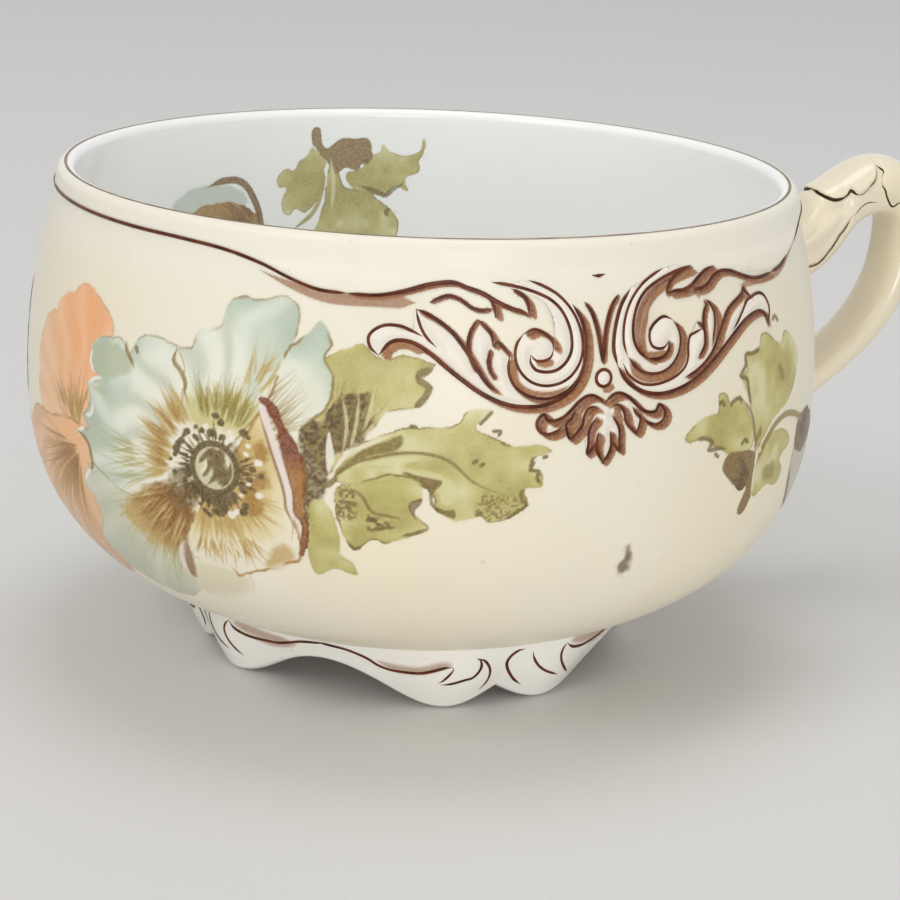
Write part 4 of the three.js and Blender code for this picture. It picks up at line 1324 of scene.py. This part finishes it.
lowerPetal = [(-57, 35), (-61, 33.6), (-66, 33), (-73.2, 34.5), (-74.6, 33.3), (-76, 31), (-74, 29.5),
              (-73.5, 27), (-75, 25), (-76, 23), (-75, 21), (-73, 19), (-68, 17.5), (-62, 17.5), (-58.5, 19),
              (-57, 20), (-57.8, 23.5), (-56.5, 27.5), (-54, 31), (-52, 36)]
topPetal = [(-55.7, 47), (-56.3, 50), (-57.3, 52), (-55.2, 52.8), (-54.5, 54.6), (-52, 55.2), (-51, 56),
            (-50.6, 58), (-49.6, 59.2), (-47.6, 59.6), (-46, 59.3), (-44, 59.9), (-42, 60.1), (-40.6, 59.4),
            (-40, 57.6), (-40.3, 55.4), (-41, 54), (-44, 47), (-51, 40)]
rightPetal = [(-44, 47), (-41.5, 53.8), (-40.3, 55.2), (-38.6, 56.5), (-37.2, 57.7), (-36, 56.2), (-35.4, 55),
              (-36.3, 53.5), (-35.2, 52), (-34.9, 50.2), (-35.2, 48.6), (-36.4, 46.8), (-40, 44.5), (-48, 40)]
frontPetal = [(-50, 37), (-44.5, 46.5), (-43.4, 44.6), (-42.2, 42), (-40.6, 39), (-40, 36), (-39.2, 32.5),
              (-38.6, 29.3), (-39.2, 27.6), (-40.6, 27.3), (-42, 26.3), (-44, 25.7), (-46, 25), (-47.4, 24.6),
              (-48.6, 23.9), (-50.2, 25.4), (-52.4, 25.2), (-54.5, 26), (-56, 28), (-54, 31.5), (-52, 36)]
foldedPetal = [(-44.8, 47.9), (-42.9, 47.6), (-41.5, 45.7), (-39.9, 43.6), (-38.7, 41.6), (-38.1, 39.2),
               (-38.2, 36.7), (-38.4, 35.1), (-37.6, 32.7), (-37.8, 31), (-38.5, 28.6), (-39.3, 28.6),
               (-38.9, 30.6), (-38.6, 32.7), (-39.7, 34.3), (-39.9, 36.7), (-40.4, 38.3), (-41.3, 40.8),
               (-41.8, 42.4), (-42.5, 45.1)]
foldLip = [(-44.4, 47.1), (-43.3, 44.4), (-42.5, 42.4), (-41.7, 40.4), (-40.8, 38.1), (-40.3, 36.3),
           (-40.1, 34.7), (-39.2, 32.7), (-39.5, 30.6)]
salmonPetals = [
    [(-69.5, 52), (-71, 54), (-73, 55.2), (-75, 56.3), (-77, 56.6), (-79, 56.2), (-80.5, 55), (-83, 54.3),
     (-84.6, 53.4), (-85.2, 51.8), (-87, 51.4), (-89, 50), (-90.2, 48), (-91.2, 45.6), (-90.6, 43),
     (-90.8, 40), (-88, 37), (-80, 36), (-74, 37), (-71, 44)],
    [(-74, 38.5), (-80, 39), (-86, 38), (-92, 37.6), (-95, 36.2), (-98.5, 34), (-101.5, 32), (-105, 29),
     (-107, 25), (-106, 20), (-102, 16.5), (-96, 15), (-88, 15), (-80, 16.5), (-74, 19), (-72, 26),
     (-73, 34)]]
plainPetal = dict(waver=0.22, edge=(-0.12, 0.2), cover=0.95, folds=[], patches=[], fans=[], spots=[],
                  strokes=[])
underlap = 0.35  # millimetres of leaf seen round a petal's soft edge
blushSize = 3.0


def paintPetal(sheet, petal, value):  # value picks the colour along the petal's stops
    look = {**plainPetal, **petal}
    depth = sheet.depth(look["outline"], look["waver"])
    mask = smoothStep(*look["edge"], depth)
    sheet.lay(mask * look["cover"], stops(value, *look["stops"]))
    for folds in look["folds"]:
        sheet.folds(mask, *folds)
    for patch in look["patches"]:
        sheet.patch(*patch)
    for fan in look["fans"]:
        sheet.rays(*fan, mask)
    for patch in look["spots"]:
        sheet.patch(*patch)
    for stroke in look["strokes"]:
        sheet.strokes(*stroke)
    sheet.rim(depth, *look["rim"])


# petals: folds as centre, count, light, shade, strength; fans as centre, count, degrees, where their strokes
# start and end, colour, half width, strength; patches as outline, colour, strength, waver, softness
salmonColours = dict(orange=(0.955, 0.655, 0.43), amber=(0.95, 0.70, 0.50), peach=(0.94, 0.75, 0.575),
                     brown=(0.66, 0.48, 0.25))
salmonGlow = dict(place=(-76.5, 53), size=(7, 9))
salmonTop = dict(
    outline=salmonPetals[0], waver=0.35, edge=(-0.15, 0.25), cover=0.93,
    stops=[(0, salmonColours["peach"]), (0.35, salmonColours["amber"]), (1, salmonColours["orange"])],
    folds=[((-77, 37), 17, (0.95, 0.83, 0.70), (0.88, 0.66, 0.47), 0.3)],
    fans=[((-77, 37), 50, (65, 150), (2, 6), (6, 11), salmonColours["brown"], 0.15, 0.38),
          ((-77, 37), 40, (70, 120), (1, 4), (5, 8), (0.66, 0.54, 0.27), 0.19, 0.45)],
    rim=((0.80, 0.62, 0.38), 0.55))
salmonLow = dict(
    outline=salmonPetals[1], waver=0.3, edge=(-0.15, 0.3), cover=0.9,
    stops=[(17, (0.83, 0.68, 0.53)), (27, (0.88, 0.68, 0.49)), (36, (0.92, 0.71, 0.52))],
    folds=[((-76, 37), 21, (0.92, 0.77, 0.61), (0.76, 0.58, 0.39), 0.35)],
    fans=[((-76, 36), 110, (180, 262), (2, 5), (8, 20), salmonColours["brown"], 0.17, 0.42),
          ((-76, 36), 50, (190, 250), (1, 3), (5, 9), (0.60, 0.42, 0.22), 0.17, 0.45)],
    rim=((0.62, 0.47, 0.28), 0.6, 0.4))


def paintSalmon(sheet):
    place, size = salmonGlow["place"], salmonGlow["size"]
    spot = ((sheet.azimuth - place[0]) / size[0]) ** 2 + ((sheet.height - place[1]) / size[1]) ** 2
    paintPetal(sheet, salmonTop, np.exp(-spot))
    paintPetal(sheet, salmonLow, sheet.height)


topMoss = [(-56, 45.6), (-53, 47.6), (-49, 48), (-46, 47.6), (-44.5, 45), (-46, 43), (-50, 43.4), (-54, 43)]
leftShade = [(-73.3, 49), (-70, 50.6), (-66.5, 50.2), (-65.3, 48.3), (-68, 46.6), (-72, 46.4)]
leftFleck = [(-73, 44.6), (-70.5, 44.8), (-70, 43.8), (-72, 43.9)]
leftCreases = [[(-66.7, 51.6), (-66.4, 50.4), (-65.4, 49.4), (-64.6, 48.4)], [(-64.8, 51.4), (-64.2, 50.2)],
               [(-57.4, 52.3), (-57.9, 50.6), (-56.7, 49.6), (-55.7, 48.2), (-55.9, 46.2)]]
leftEdge = [(-77, 37.9), (-74.8, 37.4), (-73.6, 36), (-73.3, 34), (-74.6, 32.6)]
leftGleams = [[(-73.6, 49.2), (-73.9, 47.6), (-72.6, 46)], [(-74.2, 44.7), (-72.6, 45.6), (-70.8, 46)],
              [(-74.9, 40.4), (-73.2, 40.9), (-72.8, 42.6)], [(-76.6, 38), (-74.6, 38.8)],
              [(-75.8, 31.4), (-74.4, 33), (-73.4, 33.4)]]
frontSpots = [(-44.2, 41.6), (-43.9, 37.8), (-45, 34.4), (-45.6, 36.4)]
frontShade = [(-42.6, 29.4), (-40.4, 29.8), (-39.6, 28.2), (-42, 26.8), (-44, 26.4)]
outerStops = [(4, poppyColours["cream"]), (11, (0.905, 0.895, 0.825)), (15.5, poppyColours["pale"]),
              (18.5, poppyColours["blue"]), (22, poppyColours["deepBlue"])]


def poppyPetals():
    tone = poppyColours
    lower = dict(
        outline=lowerPetal, blush=1.0,
        stops=[(6, tone["cream"]), (13, (0.84, 0.83, 0.72)), (22, (0.75, 0.765, 0.685))],
        folds=[(poppyHeart, 19, tone["pale"], (0.72, 0.73, 0.63), 0.3)],
        fans=[(poppyHeart, 70, (205, 250), (7, 12), (14, 23), tone["olive"], 0.14, 0.4)],
        rim=(tone["line"], 0.35))
    top = dict(
        outline=topPetal, blush=2.4, stops=outerStops,
        folds=[(poppyHeart, 16, tone["white"], tone["deepBlue"], 0.5)],
        patches=[(topMoss, (0.745, 0.705, 0.41), 0.7, 0.7, 1.0)],
        fans=[(poppyHeart, 80, (58, 108), (6, 8), (9, 12.5), (0.55, 0.48, 0.20), 0.13, 0.5),
              (poppyHeart, 26, (52, 76), (11, 14), (15, 18), tone["gold"], 0.15, 0.5)],
        rim=(tone["line"], 0.6))
    right = dict(
        outline=rightPetal, blush=2.4, stops=outerStops,
        fans=[(poppyHeart, 60, (28, 62), (8, 11), (12, 17), tone["line"], 0.14, 0.32)],
        rim=(tone["line"], 0.85, 0.4))
    left = dict(
        outline=leftPetal, blush=2.4, stops=outerStops,
        folds=[(poppyHeart, 18, tone["white"], tone["deepBlue"], 0.5)],
        patches=[(leftShade, (0.70, 0.73, 0.60), 0.75, 0.4, 0.5),
                 (leftFleck, (0.70, 0.72, 0.56), 0.6, 0.2, 0.3)],
        fans=[(poppyHeart, 90, (122, 196), (6, 8), (9, 13), tone["gold"], 0.26, 0.45),
              (poppyHeart, 40, (125, 190), (6, 8), (9, 13), tone["brown"], 0.17, 0.3),
              (poppyHeart, 34, (176, 200), (10, 13), (15, 21), tone["olive"], 0.12, 0.35)],
        strokes=[(leftCreases, 0.3, tone["line"], 0.85)],
        rim=(tone["line"], 0.45))
    front = dict(
        outline=frontPetal, blush=1.2,
        stops=[(5, (0.76, 0.63, 0.35)), (8.5, (0.88, 0.82, 0.64)), (12, (0.915, 0.885, 0.80))],
        fans=[(poppyHeart, 90, (250, 335), (4.5, 7), (8, 12), tone["gold"], 0.17, 0.5),
              (poppyHeart, 36, (255, 300), (9, 11), (12, 14), (0.68, 0.52, 0.24), 0.16, 0.5)],
        spots=[(oval(middle, 1.1, 1.35, 9), (0.63, 0.46, 0.19), 0.8, 0.6, 0.4) for middle in frontSpots]
        + [(frontShade, (0.70, 0.53, 0.25), 0.6, 0.4, 0.6)],
        rim=((0.66, 0.49, 0.24), 0.95, 0.45))
    folded = dict(
        outline=foldedPetal,
        stops=[(30, (0.52, 0.27, 0.13)), (35, (0.62, 0.42, 0.15)), (39, (0.62, 0.40, 0.14)),
               (42, tone["red"]), (47, (0.49, 0.22, 0.10))],
        rim=((0.42, 0.21, 0.11), 0.9, 0.35))
    return dict(lower=lower, top=top, right=right, left=left, front=front, folded=folded)


# the brown fan that runs down to the left
brownFan = dict(outline=[(-53, 35), (-57, 34.8), (-61, 34), (-63.6, 33), (-66, 31.2), (-68, 30), (-66, 27.5),
                         (-62, 25.5), (-58.2, 25.8), (-56, 28.5), (-54, 31.5)],
                waver=0.9, edge=(-0.9, 1.2), cover=0.92,
                stops=[(6, (0.48, 0.31, 0.08)), (11, (0.55, 0.37, 0.11)), (16, (0.75, 0.63, 0.38))],
                loose=(90, (202, 246), (6, 9), (12, 17), (0.52, 0.34, 0.12), 0.22, 0.32),
                kept=(50, (200, 250), (8, 12), (13, 18), (0.83, 0.74, 0.52), 0.13, 0.5))
poppyHem = [(-57, 20), (-57.8, 24), (-53, 25), (-48, 24.4), (-48, 22), (-52, 20)]
darkFold = [(-56.2, 27.6), (-55.7, 26), (-56, 24), (-56.8, 22), (-57.7, 22.8), (-57.4, 25)]
leftMarks = [("stroke", leftEdge, 0.32, poppyColours["brown"], 0.8),
             ("strokes", leftGleams, 0.28, poppyColours["shell"], 0.9)]
foldTurn = [(-56.6, 27.8), (-57.6, 26), (-58, 24), (-57.5, 22)]
foldShadow = [(azimuth - 0.6, height) for azimuth, height in foldLip]
foldMarks = [("stroke", foldLip, 0.5, poppyColours["pink"], 0.95, None, (0.02, 0.5)),
             ("stroke", foldShadow, 0.17, (0.52, 0.35, 0.21), 0.8),
             ("patch", darkFold, (0.52, 0.36, 0.19), 0.85, 0.15, 0.25),
             ("stroke", foldTurn, 0.35, poppyColours["pink"], 0.9)]


def paintBrownFan(sheet, reach):
    look = brownFan
    mask = smoothStep(*look["edge"], sheet.depth(look["outline"], look["waver"]))
    sheet.lay(mask * look["cover"], stops(reach, *look["stops"]))
    sheet.rays(poppyHeart, *look["loose"], None)
    sheet.rays(poppyHeart, *look["kept"], mask)


def paintPoppy(sheet):
    petals = poppyPetals()
    reach = sheet.polar(poppyHeart)[0]
    blush = sheet.cloud(blushSize)
    for leaf, colour in ((upperLeaf, "middle"), (hangingLeaf, "middle"), (stippledHeart, "stipple")):
        onLeaf = sheet.depth(leaf) > 0
        for name in ("right", "front", "folded"):  # the leaf carries on under the petals' soft edges
            nearPetal = sheet.depth(petals[name]["outline"], plainPetal["waver"]) > -underlap
            sheet.lay(1.0 * (onLeaf & nearPetal), leafColours[colour])
    sheet.patch(poppyHem, (0.76, 0.73, 0.55), 0.45, 0.3, 0.8)
    for name in ("lower", "top", "right", "left"):
        paintPetal(sheet, petals[name], reach + petals[name]["blush"] * blush)
    sheet.draw(leftMarks)
    paintBrownFan(sheet, reach)
    paintPetal(sheet, petals["front"], reach + petals["front"]["blush"] * blush)
    paintPetal(sheet, petals["folded"], sheet.height)
    sheet.draw(foldMarks)
    paintHeart(sheet)


heartLook = dict(radius=3.1, sides=16, dotStep=7.5, dotReach=(4.2, 6.6), dotSize=(0.35, 0.65), dotFlat=0.8,
                 dotSides=7, whiteShare=0.28, white=(0.93, 0.90, 0.86))
heartFans = [(46, (0, 360), (3.1, 3.6), (4.2, 6.4), poppyColours["dark"], 0.16, 0.9),
             (34, (150, 290), (3.2, 3.8), (4.4, 5.8), (0.30, 0.23, 0.11), 0.22, 0.9)]
heartShades = [
    ("patch", [(-57.4, 36.6), (-55, 37.4), (-54, 35.4), (-53, 33.8), (-54.6, 32.6), (-57, 33.4)],
     (0.37, 0.29, 0.13), 0.6, 1.1, 0.8),
    ("patch", [(-48, 41.6), (-46.6, 40.6), (-46.4, 38.6), (-47.6, 38.4), (-47.8, 40)],
     (0.40, 0.31, 0.14), 0.5, 0.9, 0.6),
    ("patch", [(-54.5, 36.5), (-53.6, 34.6), (-51.5, 33.4), (-48.8, 33.6), (-47.2, 35.4), (-48.4, 35.6),
               (-50.8, 34.9), (-53, 35.8)], poppyColours["dark"], 0.8, 0.6, 0.3)]
heartCore = [(-51.4, 41), (-49.6, 40.4), (-48.6, 38.2), (-49.8, 36.6), (-51.2, 37), (-51.9, 39.2)]
heartCreases = [
    [(-53.2, 38.6), (-52, 40), (-51, 40.6)],
    [(-52.6, 36.9), (-51.6, 38.4), (-51.8, 39.6)],
    [(-50.6, 40.8), (-50.2, 39), (-50.8, 37.2), (-52, 36)],
    [(-48.4, 39.6), (-48.6, 37.6), (-49.8, 36)],
    [(-49.4, 38.6), (-50.2, 37.4)]]


def paintHeart(sheet):
    look, tone = heartLook, poppyColours
    ring = oval(poppyHeart, look["radius"] / printLook["degreeLength"], look["radius"], look["sides"])
    for fan in heartFans:
        sheet.rays(poppyHeart, *fan, None)
    for angle in np.radians(np.arange(0, 360, look["dotStep"])):
        reach = sheet.random.uniform(*look["dotReach"])
        middle = np.array(poppyHeart) + np.array([math.cos(angle), math.sin(angle)]) * reach / toMillimetres
        isWhite = sheet.random.uniform() < look["whiteShare"]
        size = sheet.random.uniform(*look["dotSize"])
        dot = oval(middle, size, size * look["dotFlat"], look["dotSides"])
        sheet.patch(dot, look["white"] if isWhite else tone["dark"], 0.9, 0.25)
    sheet.draw(heartShades)
    sheet.draw([("patch", ring, tone["green"], 0.95, 0.2),
                ("patch", heartCore, (0.41, 0.32, 0.165), 0.85, 0.8, 0.35),
                ("stroke", ring + ring[:1], 0.4, tone["dark"], 0.92, None, (0.0, 0.0)),
                ("strokes", heartCreases, 0.3, (0.42, 0.34, 0.18), 0.85),
                ("stroke", [(-53, 37.4), (-52.2, 38.2), (-52, 39.4)], 0.25, tone["light"], 0.9),
                ("stroke", [(-49.2, 40.4), (-48.6, 38.8)], 0.2, tone["light"], 0.8)])


# Bud spray: three leaves, a bud on a stem and a curved stalk to a half-open flower

leftLeaf = [(12.7, 42.7), (13.5, 43.7), (16.5, 45), (18.5, 45), (19, 46), (18.8, 47.3), (20.3, 47.4),
            (21.5, 46), (23.5, 46.3), (25.5, 44.3), (26.8, 41.5), (26.4, 39), (22, 39.2), (18.5, 40.8),
            (16, 42.2), (13.5, 42)]
topLeaf = [(24.7, 51.5), (26, 51.4), (28.5, 52), (29, 53.2), (31, 53.3), (34.5, 51.2), (36, 52.3),
           (37.2, 52.5), (41, 49.3), (40.5, 47), (37.5, 43.6), (32.5, 42), (29, 39.5), (28.3, 38.7),
           (26.8, 42.5), (25.5, 46), (23.7, 49), (25, 49.5)]
lowLeaf = [(28.3, 37), (29.5, 39), (31, 40), (36, 39.8), (38.6, 37.5), (35.5, 36), (37, 33.8), (35.5, 32.3),
           (32, 33), (28.5, 32.3)]
budBack = [(41, 33.8), (42, 36), (45, 34.6), (50, 34.4), (54, 35.6), (56, 32), (53, 28), (48, 25.5), (44, 28),
           (41.5, 31)]
budFront = [(42, 39.6), (44, 40.2), (48, 40), (52, 38), (54, 36), (50, 34.5), (46, 34.2), (43, 35),
            (41.5, 36.5)]
budStalk = [(28.3, 37), (29.6, 38.6), (31, 39.8), (33, 41), (36, 41.6), (39, 41.2), (42, 40.2), (44, 39)]
budStem = [(27.4, 36), (27.7, 38.6), (27, 41.6), (25.9, 44.2), (23.6, 46.4)]
calyx = [(20.2, 37.7), (21.5, 39.3), (24.5, 39.2), (27.3, 38.6), (27.8, 36), (28, 32), (26.6, 30), (25.3, 31),
         (26.3, 34), (24.8, 33.8), (21.8, 35.9)]
topFleck = [(33.6, 48.8), (34.6, 48.4), (35.6, 46.8), (34.8, 46.4), (34, 47.4)]
lowFleck = [(30.5, 35.6), (33, 36), (34.4, 34.6), (33.4, 33.6), (30.8, 34.2)]
budTips = [
    [(24.7, 51.6), (24.9, 50.2), (23.6, 49), (25, 48.4), (25.4, 46.8), (26, 44.6)],
    [(24.8, 51.6), (26.6, 51.4), (28.6, 51.6)],
    [(18.9, 46), (19.6, 46.4), (20.2, 45.6)],
    [(21.4, 45.4), (21.8, 46), (23.4, 46.3), (23.7, 45.4)],
    [(14.8, 42.3), (16.4, 42.2), (17.8, 41.5), (17.2, 40.6), (19, 40.5), (20.8, 40.2)],
    [(18.4, 40), (19.4, 39.2)],
    [(24, 40), (24.8, 40.6), (25.8, 40)],
    [(32.5, 54.5), (33.5, 55), (34.5, 54)]]
budMarks = [
    ("patch", budBack, (0.74, 0.73, 0.64), 0.85, 0.3, 0.3),
    ("patch", budFront, (0.42, 0.27, 0.12), 0.95, 0.3),
    ("fan", (42, 39), 40, (-40, 10), (1, 3), (5, 10), (0.30, 0.18, 0.08), 0.2, 0.6),
    ("stroke", [(41.2, 34), (41.8, 31.4), (44, 28.2), (47, 26)], 0.5, (0.47, 0.42, 0.33), 0.85),
    ("leaf", topLeaf, 0.6),
    ("patch", topFleck, (0.53, 0.45, 0.19), 0.8, 0.2, 0.4),
    ("leaf", lowLeaf, 0.4),
    ("patch", lowFleck, (0.55, 0.47, 0.22), 0.7, 0.4, 0.5),
    ("leaf", leftLeaf, 0.5),
    ("stroke", budStalk, 0.45, (0.56, 0.47, 0.21), 0.9, None, (0.1, 0.02)),
    ("patch", calyx, (0.50, 0.395, 0.20), 0.97, 0.15),
    ("fan", (27.4, 35), 36, (130, 215), (0.8, 2), (3.5, 6.5), (0.35, 0.255, 0.12), 0.15, 0.6),
    ("stroke", budStem, 0.22, leafColours["edge"], 0.9),
    ("stroke", [(28.2, 37.2), (27.9, 35), (28.3, 32)], 0.3, (0.90, 0.86, 0.76), 0.85),
    ("stroke", [(28.4, 38.2), (29.2, 38.8)], 0.5, (0.90, 0.87, 0.77), 0.85),
    ("stroke", [(27, 40), (28.4, 40.6), (28.6, 41.8)], 0.5, (0.50, 0.42, 0.2), 0.7),
    ("strokes", budTips, 0.3, leafColours["edge"], 0.9, None, (0.1, 0.15))]

# The same spray inside, hung from the rim

insideBack = [(189.5, 53.4), (191, 55), (193.5, 56.2), (196, 56.5), (199, 56.6), (202, 56.2), (204, 55.2),
              (205.6, 54), (206, 51), (201, 49), (194, 49.5), (191, 52)]
insideFront = [(187, 50.5), (188.5, 51.8), (190.5, 52.8), (193, 53.4), (196, 53.6), (198.5, 53.4),
               (200.5, 52.8), (202, 50.5), (198, 47), (192, 45.5), (187.5, 47)]
insideStalk = [(186.2, 48), (187.2, 51.6), (188.4, 53.8), (190, 55.8), (192, 56.9), (194.5, 57.1),
               (196.5, 56.8), (198.5, 56.2)]
insideLeaves = [
    ([(166.5, 54.3), (171, 55), (172.5, 57.5), (174.3, 59.6), (174.6, 56), (174.8, 53), (175.5, 50),
      (176.2, 47), (174, 41), (169, 38), (164, 40), (162, 45), (161.2, 48), (161.2, 49.6), (162.3, 51.2),
      (164, 52.3), (165.5, 53.5)], 0.6),
    ([(156.6, 62), (157.2, 63.3), (157.6, 61.5), (159, 60.6), (161, 60.3), (163, 60.7), (164.6, 62),
      (165, 60.8), (166.5, 60.2), (168.5, 58), (171, 57.4), (170.8, 55.8), (169, 54.4), (166.5, 54),
      (164.2, 53.2), (163.5, 53.6), (162, 55.2), (160.5, 54.6), (159.6, 54.5), (160.2, 56.5), (158.5, 57.2),
      (157.5, 58), (158, 59.4), (157, 60.5)], 0.6),
    ([(175, 59.5), (177.8, 61.7), (178.6, 60.4), (180, 59.4), (181, 58), (182.6, 58.2), (184, 56.8),
      (183.7, 55.4), (182.2, 55), (183, 53.2), (182.2, 51), (181, 50.6), (180, 51.6), (178.2, 50.8),
      (176.3, 52.5), (175, 55), (175, 58)], 0.4)]
insideCalyx = [(166.8, 62), (167.6, 62.9), (170, 63.1), (172.6, 63), (174.3, 61.8), (175.2, 61.4),
               (176.2, 62.5), (176.6, 64.8), (178, 64.8), (178.2, 62.8), (177.2, 61.5), (175.5, 59.8),
               (173, 57.3), (171, 58.2), (169, 57.5), (168.3, 58.8), (166.5, 59.6), (166.6, 61)]
insideStem = [(175.2, 58.5), (175.3, 55.5), (175.8, 52.6), (177, 50.6), (178.5, 49.4), (181, 47.8)]
insideTips = [[(160.6, 56.4), (160.8, 55.4), (162.4, 54.6), (163.5, 53.6), (165.4, 54.2), (169, 55.4)],
              [(162.4, 51.4), (163.4, 51), (163, 50)], [(166.8, 59.4), (168.4, 58.8)]]
insideMarks = [
    ("patch", insideBack, (0.775, 0.815, 0.765), 0.85, 0.3, 0.3),
    ("patch", insideFront, (0.66, 0.52, 0.28), 0.95, 0.25),
    ("fan", (187, 49), 30, (0, 60), (1, 3), (6, 11), (0.50, 0.36, 0.17), 0.2, 0.5),
    ("stroke", insideStalk, 0.6, (0.51, 0.38, 0.17), 0.95, None, (0.02, 0.2)),
    *[("leaf", outline, edge) for outline, edge in insideLeaves],
    ("patch", insideCalyx, (0.56, 0.455, 0.27), 0.97, 0.2),
    ("stroke", [(174.3, 60), (173.6, 57.4), (173.2, 54.4), (173.4, 51)], 0.35, leafColours["light"], 0.9),
    ("stroke", insideStem, 0.4, leafColours["deep"], 0.9),
    ("strokes", insideTips, 0.4, leafColours["edge"], 0.8)]
# a soft grey-brown patch painted on the lower front wall
greyPatch = [(5.2, 29.6), (6, 28), (6.3, 26.4), (5.6, 25.4), (4.6, 26), (4.4, 27.2), (5, 28.2)]
greyPatchMarks = [("patch", greyPatch, (0.47, 0.41, 0.33), 0.95, 0.7, 0.5)]


# The films: azimuths, heights and random seed of each print

def drawn(azimuths, heights, seed, marks):
    sheet = Transfer(azimuths, heights, seed)
    sheet.draw(marks)
    return sheet


def makePrints():
    salmon = Transfer((-109, -66), (13, 58), 11)
    paintSalmon(salmon)
    addFilm("salmon_poppy_print", salmon, wallPrint, lift=0.04)
    poppy = Transfer((-79, -33.5), (16, 61), 12)
    paintPoppy(poppy)
    leaves = drawn((-39.5, -5.5), (25, 57), 13, leafMarks())
    bud = drawn((11, 58), (24, 56), 14, budMarks)
    sprays = [("poppy_print", poppy, 0.08), ("leaf_print", leaves, 0.06), ("bud_print", bud, 0.05)]
    for name, sheet, lift in sprays:
        addFilm(name + "_front", sheet, wallPrint, lift=lift)
        addFilm(name + "_back", sheet, wallPrint, lift=lift, mirrored=True)
    addFilm("inside_print", drawn((154, 208), (37, 66), 15, insideMarks), insidePrint, insidePoint)
    addFilm("grey_patch", drawn((2, 9), (23.5, 31), 16, greyPatchMarks), wallPrint)


makePrints()
print("stage: prints made")


# Floor, light and camera

stageLook = dict(floor=paint(0.86, 0.855, 0.845), floorSize=3.0, floorRoughness=0.6,
                 sky=paint(0.965, 0.968, 0.975), worldLight=0.61)
# lamps: place and target in metres, size in metres, power in watts
cupMiddle = (0, 0, 0.035)
lamps = [("keyLight", (-0.9, -0.28, 0.85), cupMiddle, 0.6, 2.9),
         ("frontLight", (-0.4, -1.05, 0.6), cupMiddle, 0.7, 0.4),
         ("lowLight", (-0.2, -0.9, 0.08), (0, 0, 0.01), 0.35, 2.7),
         ("topLight", (0.05, 0.05, 1.0), cupMiddle, 0.5, 2.0)]
# the photograph's camera: place in millimetres from the bowl's axis, angles in degrees
cameraLook = dict(sensor=36.0, lens=94.0, place=(0, -319.03, 124.05), pitch=16.925, roll=2.265, yaw=0.797,
                  turn=-24.0, nearest=0.01)


def makeStage():
    size = stageLook["floorSize"]
    corners = np.array([[-size, -size, 0], [size, -size, 0], [size, size, 0], [-size, size, 0]])
    material, shader = startMaterial("plainFloor")[:2]
    shader.inputs["Base Color"].default_value = opaque(stageLook["floor"])
    shader.inputs["Roughness"].default_value = stageLook["floorRoughness"]
    floor = addPiece("floor", corners, np.array([[0, 1, 2, 3]]), material)
    world = bpy.data.worlds.new("studio")
    world.use_nodes = True
    tree = world.node_tree
    light = tree.nodes["Background"]
    path = addNode(tree, "ShaderNodeLightPath")
    seen = Wire(tree, path.outputs["Is Camera Ray"])
    for ray in ("Is Glossy Ray", "Is Transmission Ray"):
        seen = seen.calc("MAXIMUM", seen, Wire(tree, path.outputs[ray]))
    strength = seen * (1 - stageLook["worldLight"]) + stageLook["worldLight"]
    tree.links.new(strength.socket, light.inputs["Strength"])
    light.inputs["Color"].default_value = opaque(stageLook["sky"])
    bpy.context.scene.world = world


def addLamp(name, place, target, size, power):
    data = bpy.data.lights.new(name, "AREA")
    data.shape = "DISK"
    data.size = size
    data.energy = power
    lamp = bpy.data.objects.new(name, data)
    lamp.location = place
    lamp.rotation_euler = (Vector(target) - lamp.location).to_track_quat("-Z", "Y").to_euler()
    bpy.context.scene.collection.objects.link(lamp)


def makeCamera():
    data = bpy.data.cameras.new("photoCamera")
    look = cameraLook
    data.sensor_width = look["sensor"]
    data.lens = look["lens"]
    data.clip_start = look["nearest"]
    camera = bpy.data.objects.new("photoCamera", data)
    pitch, roll, yaw, turn = (math.radians(look[name]) for name in ("pitch", "roll", "yaw", "turn"))
    ahead = np.array([math.sin(yaw) * math.cos(pitch), math.cos(yaw) * math.cos(pitch), -math.sin(pitch)])
    right = np.array([math.cos(yaw), -math.sin(yaw), 0])
    above = np.cross(right, ahead)
    camX = math.cos(roll) * right + math.sin(roll) * above
    camY = -math.sin(roll) * right + math.cos(roll) * above
    # the camera's side is turned this far round the bowl's axis
    spin = np.array([[math.cos(turn), -math.sin(turn), 0], [math.sin(turn), math.cos(turn), 0], [0, 0, 1]])
    place = spin @ np.array(look["place"]) + [axisX, 0, 0]
    matrix = np.eye(4)
    matrix[:3, :3] = np.stack([spin @ camX, spin @ camY, spin @ -ahead], -1)
    matrix[:3, 3] = place * mm
    camera.matrix_world = Matrix(matrix.tolist())
    bpy.context.scene.collection.objects.link(camera)
    bpy.context.scene.camera = camera


makeStage()
for lamp in lamps:
    addLamp(*lamp)
makeCamera()
bpy.context.scene.view_settings.view_transform = "Standard"

print("stage: done")
